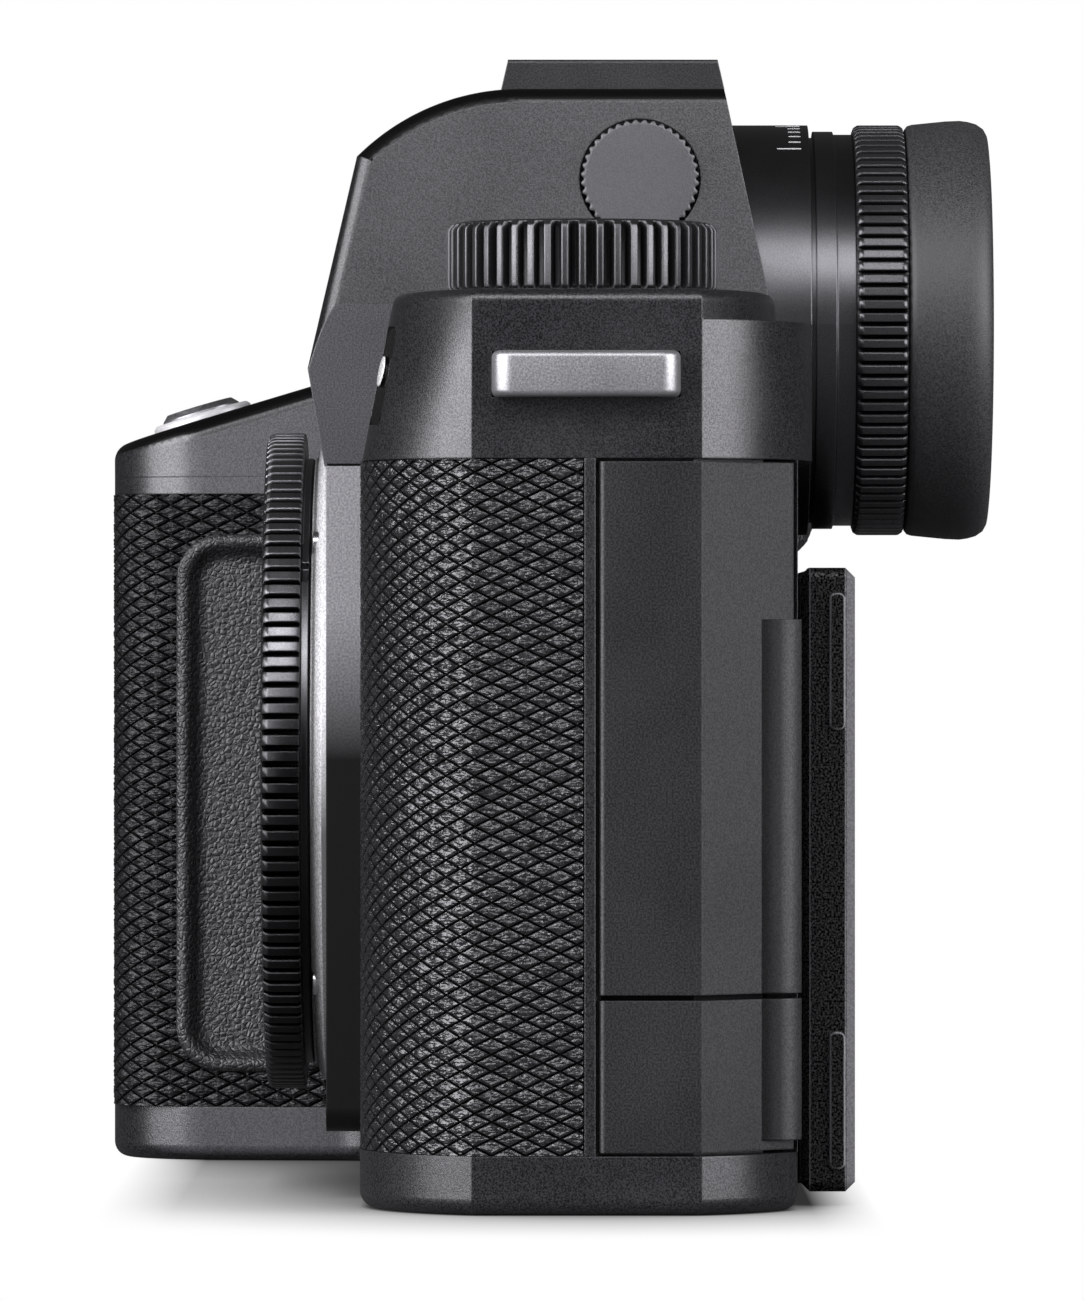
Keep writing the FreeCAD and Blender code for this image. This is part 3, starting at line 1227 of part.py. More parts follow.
# Hot shoe: a channel with lips and a front stop, and its contacts.
shoe_rails = new_body("shoe_rails")
pad(shoe_rails, "XZ", "-shoe_front", "shoe_rear",
    [P("-shoe_slot_half - shoe_wall", "shoe_floor"), P("shoe_slot_half + shoe_wall", "shoe_floor"),
     P("shoe_slot_half + shoe_wall", "shoe_high", "0.35"), P("shoe_lip_half", "shoe_high"),
     P("shoe_lip_half", "shoe_lip_low"), P("shoe_slot_half", "shoe_lip_low"),
     P("shoe_slot_half", "shoe_floor + shoe_plate"), P("-shoe_slot_half", "shoe_floor + shoe_plate"),
     P("-shoe_slot_half", "shoe_lip_low"), P("-shoe_lip_half", "shoe_lip_low"),
     P("-shoe_lip_half", "shoe_high"), P("-shoe_slot_half - shoe_wall", "shoe_high", "0.35")])
pad(shoe_rails, "XY", "shoe_floor + shoe_plate", "shoe_lip_low",
    box("-shoe_slot_half", "-shoe_front", "shoe_slot_half", "-shoe_front + shoe_stop"))
for near, far in (("-shoe_front", "-shoe_front + 0.65"), ("shoe_rear", "shoe_rear - 0.65")):
    away = f"{near} - 1" if far.startswith("-") else f"{near} + 1"
    cut(shoe_rails, "YZ", "-shoe_slot_half - shoe_wall - 1", "shoe_slot_half + shoe_wall + 1",
        [P(near, "hump_high + 0.3"), P(far, "shoe_high"), P(far, "shoe_high + 1"), P(away, "shoe_high + 1"),
         P(away, "hump_high + 0.3")])
SHOE_SPOTS = (("0", "3"), ("shoe_spot_apart", "1"), ("-shoe_spot_apart", "1"),
              ("shoe_spot_apart", "6"), ("-shoe_spot_apart", "6"))
shoe_contacts = group("shoe_contacts", [
    cylinder(f"shoe_contact_{number}", (across, along, "shoe_floor + shoe_plate"), UP,
             "shoe_spot", "shoe_spot_proud")
    for number, (across, along) in enumerate(SHOE_SPOTS)])

# Lamp: a dark plate in the leaning front corner with a round lens on it.
lamp_plate = new_body("lamp_plate")
pad(lamp_plate, "XZ", "0", "lamp_deep - lamp_inset", LAMP_FACE, turn=LAMP_TURN)
pad(lamp_plate, "XZ", "0", "lamp_deep", Circle("0", "lamp_eye_up", "lamp_eye"), turn=LAMP_TURN)

# Glass of the top display.
display_glass = new_body("display_glass")
pad(display_glass, "XY", "shoulder_high - display_thick", "shoulder_high",
    box("-display_x - display_half_x", "display_y - display_half_y", "-display_x + display_half_x",
        "display_y + display_half_y", "1"))

# Battery, its bay and the lever that frees it.
battery = new_body("battery")
pad(battery, "XY", "0", "cell_foot", box(CELL_RIGHT, CELL_FRONT, CELL_LEFT, CELL_BACK, "3"))
soften(battery, "Fillet", "0.5", level_at("0"))
pad(battery, "XY", "cell_foot", "cell_high",
    box(f"-{CELL_X} - {CELL_HALF_X}", "-cell_y - cell_half_y",
        f"-{CELL_X} + {CELL_HALF_X}", "-cell_y + cell_half_y", "1.5"))
battery_bay = new_body("battery_bay")
BAY = "(cell_gap + bay_wall)"
pad(battery_bay, "XY", "base_top", "cell_high + cell_gap + bay_wall",
    box(f"-{CELL_X} - {CELL_HALF_X} - {BAY}", f"-cell_y - cell_half_y - {BAY}",
        f"-{CELL_X} + {CELL_HALF_X} + {BAY}", f"-cell_y + cell_half_y + {BAY}", "2.5"))
cut(battery_bay, "XY", "base_top", "cell_high + cell_gap",
    box(f"-{CELL_X} - {CELL_HALF_X} - cell_gap", "-cell_y - cell_half_y - cell_gap",
        f"-{CELL_X} + {CELL_HALF_X} + cell_gap", "-cell_y + cell_half_y + cell_gap", "1.5"))
battery_lever = new_body("battery_lever")
pad(battery_lever, "XY", "lever_low", "lever_high",
    box("-lever_right + cell_gap", "-lever_y - lever_half", "-lever_left - cell_gap - lever_travel",
        "-lever_y + lever_half", "0.5"))

# Card door on the grip side and the card slots behind it.
card_door = new_body("card_door")
pad(card_door, "XY", "card_low + 0.25", "card_high - 0.25",
    [P("-grip_wide", "-card_front + 0.25", "card_thick / 2 - 0.01"),
     P("-(grip_wide - card_thick)", "-card_front + 0.25", "card_thick / 2 - 0.01"),
     P("-(grip_wide - card_thick)", "card_rear - 0.25"), P("-grip_wide", "card_rear - 0.25")])
card_slots = new_body("card_slots")
pad(card_slots, "YZ", "-grip_wide + card_thick + 2.8", "-grip_wide + slots_deep + 2",
    box("slots_front", "card_low + 5", "slots_rear", "card_high - 7", "0.6"))
for low, thick, tall in (("slots_front + 0.5", "small_card_thick", "small_card_tall"),
                         ("slots_front + 3.4", "large_card_thick", "large_card_tall")):
    middle = "(card_low + card_high) / 2 - 1"
    cut(card_slots, "YZ", "-grip_wide", "-grip_wide + slots_deep",
        box(low, f"{middle} - {tall} / 2", f"{low} + {thick}", f"{middle} + {tall} / 2"))

# Port doors of the left side, with finger lips on the slanted rear face.
for name, low, high, lip_low, lip_high in (
        ("port_door_upper", "door_split_high", "seam_high - door_gap", "door_split_high", "lip_top"),
        ("port_door_lower", "base_top + door_gap", "door_split_low", "lip_foot", "door_split_low")):
    door = new_body(name)
    pad(door, "XY", low, high,
        [P("side_wide - door_thick", "door_front", "door_thick / 2 - 0.01"),
         P("side_wide", "door_front", "door_thick / 2 - 0.01")]
        + left_rear("0", "door_end")
        + [P(f"{LEFT_SUM} - door_end - {TIP}", f"door_end - {TIP}"),
           P("side_wide - door_thick", f"facet_rear - {SLANT_STEP} * door_thick")])
    pad(door, "XY", lip_low, lip_high,
        [P(f"{LEFT_SUM} - lip_front", "lip_front", arc="lip_arc"),
         P(f"{LEFT_SUM} - door_end + lip_over", "door_end + lip_over"),
         P(f"{LEFT_SUM} - door_end", "door_end"),
         P(f"{LEFT_SUM} - door_end - {TIP}", f"door_end - {TIP}"),
         P(f"{LEFT_SUM} - lip_front - {TIP}", f"lip_front - {TIP}")])

# Port panel behind the doors, with round jacks and two flat sockets in it.
PORT_Y = "((window_front + window_rear) / 2)"
PORT_FACE = f"(side_wide - {INNER})"
JACK_SPOTS = ("jack_top_z", "jack_low_z", "(lip_foot + door_split_low) / 2")
FLAT_PORTS = (("wide_port_z", "wide_port_tall", "wide_port_deep"),
              ("small_port_z", "small_port_tall", "small_port_deep"))
port_panel = new_body("port_panel")
pad(port_panel, "YZ", f"{PORT_FACE} - 1.6", PORT_FACE,
    box("window_front - 0.6", "lip_foot + 1", "window_rear - 0.3", "window_high + 1", "0.6"))
for height in JACK_SPOTS:
    cut(port_panel, "YZ", f"{PORT_FACE} - 3", f"{PORT_FACE} + 1", Circle(PORT_Y, height, "jack_out"))
for height, tall, deep in FLAT_PORTS:
    cut(port_panel, "YZ", f"{PORT_FACE} - 3", f"{PORT_FACE} + 1",
        box(f"{PORT_Y} - {deep} / 2 - port_shell", f"{height} - {tall} / 2 - port_shell",
            f"{PORT_Y} + {deep} / 2 + port_shell", f"{height} + {tall} / 2 + port_shell"))


def carve(name, base, tool):
    """One primitive with another cut out of it."""
    piece = doc.addObject("Part::Cut", name)
    piece.Base = base
    piece.Tool = tool
    return piece


def tube(name, height):
    """A round jack: a tube open to the left."""
    outer = cylinder(name + "_outer", (f"{PORT_FACE} - jack_deep", PORT_Y, height), LEFT,
                     "jack_out", "jack_deep")
    inner = cylinder(name + "_inner", (f"{PORT_FACE} - jack_deep + 1", PORT_Y, height), LEFT,
                     "jack_bore", "jack_deep")
    return carve(name, outer, inner)


def brick(name, low, high):
    """A box between two corners."""
    piece = doc.addObject("Part::Box", name)
    for letter, side, near, far in zip("xyz", ("Length", "Width", "Height"), low, high):
        piece.setExpression(f"Placement.Base.{letter}", bound(near))
        piece.setExpression(side, bound(f"({far}) - ({near})"))
    return piece


def flat_socket(name, height, tall, deep):
    """A flat metal socket shell open to the left, with a contact tongue in its middle."""
    low = (f"{PORT_FACE} - port_long", f"{PORT_Y} - {deep} / 2", f"{height} - {tall} / 2")
    high = (PORT_FACE, f"{PORT_Y} + {deep} / 2", f"{height} + {tall} / 2")
    shell = brick(name + "_outer",
                  [f"{low[0]} - port_shell"] + [f"{place} - port_shell" for place in low[1:]],
                  [high[0]] + [f"{place} + port_shell" for place in high[1:]])
    hollow = brick(name + "_inner", low, [f"{high[0]} + 1", *high[1:]])
    tongue = brick(name + "_tongue",
                   (f"{low[0]} - 0.1", f"{PORT_Y} - port_tongue / 2", f"{low[2]} + port_side"),
                   (f"{PORT_FACE} - 1", f"{PORT_Y} + port_tongue / 2", f"{high[2]} - port_side"))
    piece = doc.addObject("Part::Fuse", name)
    piece.Base = carve(name + "_shell", shell, hollow)
    piece.Tool = tongue
    return piece


audio_jacks = group("audio_jacks", [
    tube(f"jack_{number}", height) for number, height in enumerate(JACK_SPOTS)])
data_sockets = group("data_sockets", [
    flat_socket(f"socket_{number}", *spot) for number, spot in enumerate(FLAT_PORTS)])

# Tilting screen: the swinging arm, the screen body and its glass.
ARM_LOW = "(-screen_right + screen_cheek + arm_gap)"
ARM_HIGH = "(screen_left - screen_cheek - arm_gap)"
screen_arm = new_body("screen_arm")
pad(screen_arm, "XZ", "arm_front", "arm_rear",
    box(ARM_LOW, "swing_z + knuckle + 0.5", ARM_HIGH, "arm_top", "1"))
for low, high in (("ear_left - 2 * ear_wide - ear_gap", "ear_left - ear_wide - ear_gap"),
                  ("-ear_right + ear_wide + ear_gap", "-ear_right + 2 * ear_wide + ear_gap")):
    pad(screen_arm, "YZ", low, high,
        [P("arm_front", "swing_z - 1", "0.9"), P("swing_y + 1", "swing_z - 1", "0.9"),
         P("swing_y + 1", "swing_z + knuckle + 0.9"), P("arm_front", "swing_z + knuckle + 0.9")])
pad(screen_arm, "YZ", "-ear_right - 0.4", "ear_left + 0.4", Circle("swing_y", "swing_z", "hinge_pin"))
TOP_EARS = ((f"{ARM_HIGH} - ear_wide", ARM_HIGH), (ARM_LOW, f"{ARM_LOW} + ear_wide"))
for low, high in TOP_EARS:
    pad(screen_arm, "YZ", low, high,
        [P("arm_front", "arm_top - 3"), P("arm_rear", "arm_top - 3"),
         P("tilt_y + knuckle", "tilt_z - knuckle - 0.1"),
         P("tilt_y + knuckle", "tilt_z + knuckle", "knuckle - 0.05"),
         P("tilt_y - knuckle", "tilt_z + knuckle", "knuckle - 0.05"), P("arm_front", "arm_top + 0.5")])
    cut(screen_arm, "YZ", low, high, Circle("tilt_y", "tilt_z", "hinge_pin + running_gap"))

screen_body = new_body("screen_body")
pad(screen_body, "XZ", "screen_front", "screen_rear",
    box("-screen_right", "screen_low", "screen_left", "screen_high", "1"))


def screen_rims(edge):
    """The outline edges of the screen's rear and front faces."""
    bounds = edge.BoundBox
    flat = bounds.YLength < 0.01
    faces = (value("screen_rear"), value("screen_front"))
    return flat and min(abs(bounds.YMin - face) for face in faces) < 0.01


soften(screen_body, "Chamfer", "screen_edge", screen_rims)
cut(screen_body, "XZ", "screen_front - 1", "screen_pocket",
    box("-screen_right + screen_cheek", "screen_low - 1", "screen_left - screen_cheek", "screen_high + 1"))
cut(screen_body, "XZ", "screen_front - 1", "swing_y + knuckle + 0.4",
    box("-ear_right - 1.2", "screen_low - 1", "ear_left + 1.2", "swing_z + knuckle + 1.2"))
for low, high in TOP_EARS:
    cut(screen_body, "YZ", f"{low} - ear_gap", f"{high} + ear_gap",
        [P("screen_front - 1", "arm_top - 6"), P("screen_pocket", "arm_top - 6"),
         P("tilt_y + knuckle + 0.5", "tilt_z - knuckle - 2"), P("tilt_y + knuckle + 0.5", "screen_high + 1"),
         P("screen_front - 1", "screen_high + 1")])
    pad(screen_body, "YZ", f"{low} - 1.2", f"{high} + 1.2", Circle("tilt_y", "tilt_z", "hinge_pin"))
PANE = box("-screen_right + pane_inset", "screen_low + pane_inset",
           "screen_left - pane_inset", "screen_high - pane_inset", "1")
cut(screen_body, "XZ", "screen_rear - screen_pane", "screen_rear + 1", PANE)
for low, high in (("ridge_low", "ridge_low + ridge_long"), ("ridge_high - ridge_long", "ridge_high")):
    pad(screen_body, "YZ", "screen_left - 0.5", "screen_left + ridge_proud",
        box("screen_rear - 2.3", low, "screen_rear - 1", high, "ridge_round"))
screen_glass = new_body("screen_glass")
pad(screen_glass, "XZ", "screen_rear - screen_pane", "screen_rear", PANE)


doc.recompute()

GROUPS = [flange_screws, base_screws, shoe_contacts, audio_jacks, data_sockets]
NODES = [item for item in doc.Objects if item.TypeId == "PartDesign::Body"] + GROUPS
for item in doc.Objects:
    if "Invalid" in item.State or "Error" in item.State:
        raise RuntimeError(f"{item.Label} failed: {item.State}")
for node in NODES:
    if node.Shape.isNull() or not node.Shape.isValid():
        raise RuntimeError(f"{node.Label} has no valid shape")
os.makedirs("parts", exist_ok=True)
for node in NODES:
    node.Shape.exportStep(f"parts/{node.Label}.step")
print(len(NODES), "nodes written")
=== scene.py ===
"""Dresses the camera's CAD frame: leather, knurling, marks and trim, materials, stage and light."""

import math
import random

import bmesh
import bpy
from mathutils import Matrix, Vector, noise


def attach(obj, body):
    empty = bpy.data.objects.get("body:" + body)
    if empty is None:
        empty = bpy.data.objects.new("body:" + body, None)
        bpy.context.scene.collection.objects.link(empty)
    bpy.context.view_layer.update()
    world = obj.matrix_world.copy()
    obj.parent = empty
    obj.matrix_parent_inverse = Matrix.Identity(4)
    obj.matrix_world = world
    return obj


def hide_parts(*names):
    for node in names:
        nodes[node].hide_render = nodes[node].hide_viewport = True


MM = 0.001
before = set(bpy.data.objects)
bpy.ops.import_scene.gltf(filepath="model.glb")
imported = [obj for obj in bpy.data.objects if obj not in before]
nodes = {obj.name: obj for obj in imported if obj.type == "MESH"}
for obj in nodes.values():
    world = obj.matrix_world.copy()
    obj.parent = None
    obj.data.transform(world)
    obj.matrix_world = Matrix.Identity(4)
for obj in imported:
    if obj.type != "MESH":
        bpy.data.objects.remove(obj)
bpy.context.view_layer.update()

# Places of the CAD frame that the pieces below are fitted to, in mm.
FRONT_Y = -20.1          # the front face
SIDE_X = 63.0            # the flat left side
CORNER_X = 46.0          # where the front face turns into the rounded left corner
CORNER_R = 19.1          # that corner's arc, which meets the flat side at an angle
SIDE_LEATHER_END = 0.42  # where the side leather stops before the port doors
PANEL_EDGE_X = 33.15     # either edge of the mount panel, where the leather starts
LEATHER_LOW = 5.45       # the leather's lower edge, over the base
GRIP_FRONT_Y = -46.65    # the grip's nose
GRIP_NOSE_X = -40.5      # the inner side of the grip, at its nose and at its root
GRIP_ROOT_X = -37.5
LENS_HIGH = 40.6         # the lens axis
EYE_HIGH = 82.2          # the eyepiece's axis
DIAL_HIGH = 84.2         # the underside of the dials on the shoulders
MODE_X, MODE_Y = 42.0, 0.4
KEY_X, KEY_Y = -52.0, 20.9  # the middle and the face of the two rear keys
BLACK = (0.003, 0.003, 0.003)


class Shader:
    """A Principled material with helpers for its procedural inputs."""

    def __init__(self, name, colour, rough, metal=0.0, specular=0.5, coat=0.0):
        self.material = bpy.data.materials.new(name)
        self.material.use_nodes = True
        self.tree = self.material.node_tree
        self.tree.nodes.clear()
        self.out = self.node("ShaderNodeOutputMaterial")
        self.main = self.node("ShaderNodeBsdfPrincipled")
        self.link(self.main.outputs[0], self.out.inputs["Surface"])
        self.colour = colour
        self.main.inputs["Base Color"].default_value = (*colour, 1)
        self.main.inputs["Roughness"].default_value = rough
        self.main.inputs["Metallic"].default_value = metal
        self.main.inputs["Specular IOR Level"].default_value = specular
        self.main.inputs["Coat Weight"].default_value = coat
        self.place = self.node("ShaderNodeTexCoord").outputs["Object"]
        self.normal = None

    def node(self, kind, **values):
        made = self.tree.nodes.new(kind)
        for key, value in values.items():
            setattr(made, key, value)
        return made

    def link(self, start, end):
        self.tree.links.new(start, end)

    def noise(self, size, detail=2.0, stretch=(1, 1, 1)):
        """Noise whose features are about size metres across."""
        mapping = self.node("ShaderNodeMapping")
        mapping.inputs["Scale"].default_value = stretch
        self.link(self.place, mapping.inputs["Vector"])
        made = self.node("ShaderNodeTexNoise")
        made.inputs["Scale"].default_value = 1 / size
        made.inputs["Detail"].default_value = detail
        self.link(mapping.outputs[0], made.inputs["Vector"])
        return made.outputs["Fac"]

    def cells(self, size):
        """The distance to the borders of cells that are about size metres across."""
        made = self.node("ShaderNodeTexVoronoi", feature="DISTANCE_TO_EDGE")
        made.inputs["Scale"].default_value = 1 / size
        self.link(self.place, made.inputs["Vector"])
        return made.outputs["Distance"]

    def remap(self, value, low, high, new_low, new_high):
        """Carries a value from one range to another, held at the ends of the new one."""
        made = self.node("ShaderNodeMapRange")
        for key, number in (("From Min", low), ("From Max", high), ("To Min", new_low), ("To Max", new_high)):
            made.inputs[key].default_value = number
        self.link(value, made.inputs["Value"])
        return made.outputs["Result"]

    def edges(self, radius):
        """Rounds the shading of sharp edges, and gives back where they are."""
        bevel = self.node("ShaderNodeBevel", samples=4)
        bevel.inputs["Radius"].default_value = radius
        self.normal = bevel.outputs[0]
        flat = self.node("ShaderNodeNewGeometry").outputs["Normal"]
        dot = self.node("ShaderNodeVectorMath", operation="DOT_PRODUCT")
        self.link(bevel.outputs[0], dot.inputs[0])
        self.link(flat, dot.inputs[1])
        return self.remap(dot.outputs["Value"], 0.995, 0.86, 0.0, 1.0)

    def bump(self, height, depth):
        """Adds a relief of depth metres to the normal."""
        made = self.node("ShaderNodeBump")
        made.inputs["Distance"].default_value = depth
        made.inputs["Strength"].default_value = 1.0
        self.link(height, made.inputs["Height"])
        if self.normal is not None:
            self.link(self.normal, made.inputs["Normal"])
        self.normal = made.outputs[0]

    def shade(self, factor, dark, light):
        """Runs the base colour between two multiples of itself."""
        return self.shade_of(factor, self.colour, dark, light)

    def shade_of(self, factor, colour, dark, light):
        """Runs a colour between two multiples of itself, over the middle of a noise's range."""
        ramp = self.node("ShaderNodeValToRGB")
        first, last = ramp.color_ramp.elements
        first.position, last.position = 0.36, 0.64
        first.color = (*(min(1, channel * dark) for channel in colour), 1)
        last.color = (*(min(1, channel * light) for channel in colour), 1)
        self.link(factor, ramp.inputs["Fac"])
        return ramp.outputs["Color"]

    def mix(self, factor, first, second):
        """A colour between two others, each a constant or a socket."""
        made = self.node("ShaderNodeMix", data_type="RGBA")
        self.link(factor, made.inputs[0])
        for source, socket in ((first, made.inputs[6]), (second, made.inputs[7])):
            if isinstance(source, tuple):
                socket.default_value = (*source, 1)
            else:
                self.link(source, socket)
        return made.outputs[2]

    def product(self, first, second):
        made = self.node("ShaderNodeMath", operation="MULTIPLY")
        self.link(first, made.inputs[0])
        self.link(second, made.inputs[1])
        return made.outputs[0]

    def along(self, output, axis):
        """The X, Y or Z part of the shaded place's Position or Normal."""
        split = self.node("ShaderNodeSeparateXYZ")
        self.link(self.node("ShaderNodeNewGeometry").outputs[output], split.inputs[0])
        return split.outputs[axis]

    def set_back(self):
        """Which places lie further in than the left end's leather, where the side light reaches them more."""
        return self.remap(self.along("Position", "X"), 0.05, 0.045, 0.0, 1.0)

    def door_gap(self):
        """The strip of the body that shows between the two port doors, which gets painted shade."""
        low, high, inner, front, soft = 0.0193, 0.0202, 0.0545, 0.002, 0.0001
        level = self.along("Position", "Z")
        band = self.product(self.remap(level, low, low + soft, 0.0, 1.0),
                            self.remap(level, high - soft, high, 1.0, 0.0))
        band = self.product(band, self.remap(self.along("Position", "X"), inner, inner + soft, 0.0, 1.0))
        return self.product(band, self.remap(self.along("Position", "Y"), front, front + soft, 0.0, 1.0))

    def lip_ramp(self):
        """The start of a door's finger lip, whose normals lie between the flat side's and the slant's.

        The normal is the object's own, so the ramp stays where it is when the door swings.
        """
        coordinates = self.node("ShaderNodeTexCoord")
        parts = self.node("ShaderNodeSeparateXYZ")
        self.link(coordinates.outputs["Normal"], parts.inputs[0])
        past_flat = self.remap(parts.outputs["Y"], 0.06, 0.12, 0.0, 1.0)
        return self.product(past_flat, self.remap(parts.outputs["Y"], 0.46, 0.64, 1.0, 0.0))

    def larger(self, first, second):
        made = self.node("ShaderNodeMath", operation="MAXIMUM")
        self.link(first, made.inputs[0])
        self.link(second, made.inputs[1])
        return made.outputs[0]

    def deep(self):
        """How dark the painted shade in a groove is at a place of the mesh, from 0 to 1."""
        return self.node("ShaderNodeAttribute", attribute_name="deep").outputs["Fac"]

    def done(self):
        if self.normal is not None:
            self.link(self.normal, self.main.inputs["Normal"])
        return self.material


def painted(name, colour, rough=0.38, grain=0.00022, depth=0.00002, edge=0.00018, wear_and_highlight=2.0, specular=0.9,
            metallic=0.0, specks=(0.6, 1.5), lift=None, sparkle=0.0, lip=False):
    """Fine textured paint: a speckled grain, soft handling marks, edges lighter for wear and as a painted
    highlight, and painted shade in grooves.

    specks are the darkest and lightest multiple of the colour in its grain, and sparkle is how much the
    grain changes the highlight. lift is the colour of painted light on the side faces that lie further in
    than the left end, where the photo's side light reaches more, lighter where they stand upright than
    where they lean up; with it, upward-leaning fillets there and the strip between the port doors get
    painted shade. lip paints shade on the start of a door's finger lip.
    """
    made = Shader(name, colour, rough, metallic, specular=specular)
    rim = made.edges(edge)
    fine = made.noise(grain, 1.5)
    wide = made.noise(0.012, 3.0)
    # Edges lighter: partly wear, partly a painted highlight.
    base = made.mix(rim, made.shade(fine, *specks), tuple(min(1, channel * wear_and_highlight) for channel in colour))
    painted_shade = made.deep()
    # Painted light on set-back side faces facing +X, lighter where upright than where they lean up.
    if lift:
        aside, up = made.along("Normal", "X"), made.along("Normal", "Z")
        leaning = made.shade_of(fine, tuple(channel * 0.6 for channel in lift), 0.55, 1.5)
        upright = made.shade_of(fine, tuple(channel * 2.0 for channel in lift), 0.7, 1.35)
        raised = made.mix(made.remap(up, 0.03, 0.07, 1.0, 0.0), leaning, upright)
        base = made.mix(made.product(made.remap(aside, 0.75, 1.0, 0.0, 1.0), made.set_back()), base, raised)
        # Painted shade on upward-leaning fillets of the set-back faces and between the port doors.
        over = made.product(made.remap(aside, 0.03, 0.2, 0.0, 1.0), made.remap(up, 0.22, 0.34, 0.0, 1.0))
        painted_shade = made.larger(made.product(over, made.set_back()), made.door_gap())
    # Painted shade on the start of a door's finger lip.
    if lip:
        painted_shade = made.larger(painted_shade, made.remap(made.lip_ramp(), 0.0, 1.0, 0.0, 0.8))
    # Painted shade: black in grooves and wherever the masks above mark shade.
    made.link(made.mix(painted_shade, base, BLACK), made.main.inputs["Base Color"])
    glint = made.remap(fine, 0.36, 0.64, 1 - sparkle, 1 + sparkle)
    # Less highlight where there is painted shade.
    shine = made.product(made.remap(painted_shade, 0.0, 1.0, specular, 0.1), glint)
    made.link(shine, made.main.inputs["Specular IOR Level"])
    made.link(made.remap(wide, 0.3, 0.7, rough - 0.05, rough + 0.06), made.main.inputs["Roughness"])
    made.bump(fine, depth)
    return made.done()


def screen_shell(colour, strip, rear):
    """The screen's dark speckled shell, with a lighter rear strip from a depth in metres on."""
    made = Shader("screen_shell", colour, 0.45, specular=0.5)
    rim = made.edges(0.0002)
    fine = made.noise(0.0002, 1.5)
    split = made.node("ShaderNodeSeparateXYZ")
    made.link(made.place, split.inputs[0])
    soft = 0.00005
    behind = made.remap(split.outputs["Y"], rear - soft, rear + soft, 0.0, 1.0)
    base = made.mix(behind, made.shade(fine, 0.0, 2.6), strip)
    # Painted highlight: the edges take three times the strip's colour.
    made.link(made.mix(rim, base, tuple(channel * 3 for channel in strip)), made.main.inputs["Base Color"])
    made.link(made.remap(fine, 0.4, 0.66, 0.0, 0.85), made.main.inputs["Specular IOR Level"])
    made.bump(fine, 0.00001)
    return made.done()


def metal(name, colour, rough, brushed=None, depth=0.000004, edge=0.0001, share=1.0, grain=0.0003):
    """Turned or polished metal with fine tool marks."""
    made = Shader(name, colour, rough, metal=share)
    made.edges(edge)
    fine = made.noise(grain, 2.0, brushed or (1, 1, 1))
    wide = made.noise(0.008, 2.0)
    made.link(made.shade(wide, 0.88, 1.06), made.main.inputs["Base Color"])
    made.link(made.remap(fine, 0.3, 0.7, rough * 0.8, rough * 1.25), made.main.inputs["Roughness"])
    made.bump(fine, depth)
    return made.done()


def hide(name, colour, rough, pores, depth, wrinkle, wrinkle_depth, specular=0.9, groove=0.15):
    """Leather or rubber: small cells between grooves, wrinkles over them, painted shade where the mesh is deep."""
    made = Shader(name, colour, rough, specular=specular)
    cells = made.remap(made.cells(pores), 0.0, 0.28, 0.0, 1.0)
    creases = made.noise(wrinkle, 2.0)
    # Painted shade: deep places darken to groove times the colour and lose highlight.
    made.link(made.mix(made.deep(), made.shade(creases, 0.6, 1.5),
                       tuple(channel * groove for channel in colour)), made.main.inputs["Base Color"])
    shine = made.remap(made.deep(), 0.0, 1.0, specular, specular * groove)
    made.link(shine, made.main.inputs["Specular IOR Level"])
    made.link(made.remap(creases, 0.3, 0.7, rough - 0.08, rough + 0.1), made.main.inputs["Roughness"])
    made.bump(cells, depth)
    made.bump(creases, wrinkle_depth)
    return made.done()


def painted_light_by_height(name, colour, dark, face, rough, low, high):
    """Painted light on side faces down to a height and painted shade below it, with its own front face."""
    made = Shader(name, colour, rough, specular=0.9)
    fine = made.noise(0.0002, 1.5)
    level = made.remap(made.along("Position", "Z"), low, high, 0.0, 1.0)
    aside = made.node("ShaderNodeMath", operation="ABSOLUTE")
    made.link(made.along("Normal", "X"), aside.inputs[0])
    # Painted light on the side faces above a height, painted shade below it.
    sides = made.mix(level, dark, made.shade(fine, 0.75, 1.3))
    base = made.mix(aside.outputs[0], made.shade_of(fine, face, 0.6, 1.5), sides)
    made.link(base, made.main.inputs["Base Color"])
    # Less highlight where the side faces are in painted shade.
    dark_sides = made.product(aside.outputs[0], made.remap(level, 0.0, 1.0, 1.0, 0.0))
    made.link(made.remap(dark_sides, 0.0, 1.0, 0.9, 0.25), made.main.inputs["Specular IOR Level"])
    made.edges(0.00018)
    made.bump(fine, 0.00001)
    return made.done()


def anodised_cap_with_painted_light(colour, face):
    """Black anodising on a plain front, with painted light on the ridges above and painted shade below."""
    made = Shader("cap_anodised", colour, 0.28, 1.0)
    rim = made.edges(0.00018)
    fine = made.noise(0.0001, 1.5)
    wide = made.noise(0.01, 2.0)
    ahead = made.node("ShaderNodeMath", operation="ABSOLUTE")
    made.link(made.along("Normal", "Y"), ahead.inputs[0])
    front = made.remap(ahead.outputs[0], 0.25, 0.6, 0.0, 1.0)
    # Painted highlight on the ridges' edges.
    painted_ridge_light = made.mix(rim, made.shade(fine, 0.8, 1.25), tuple(channel * 2 for channel in colour))
    # Painted light on the upper part of the cap, painted shade toward its lower part.
    sides = made.mix(made.remap(made.along("Position", "Z"), 0.04, 0.055, 0.15, 1.0), face, painted_ridge_light)
    base = made.mix(front, sides, made.shade_of(fine, face, 0.7, 1.4))
    # Painted shade in the grooves.
    made.link(made.mix(made.deep(), base, BLACK), made.main.inputs["Base Color"])
    made.link(made.remap(front, 0.0, 1.0, 1.0, 0.1), made.main.inputs["Metallic"])
    made.link(made.remap(wide, 0.3, 0.7, 0.26, 0.34), made.main.inputs["Roughness"])
    made.bump(fine, 0.000008)
    return made.done()
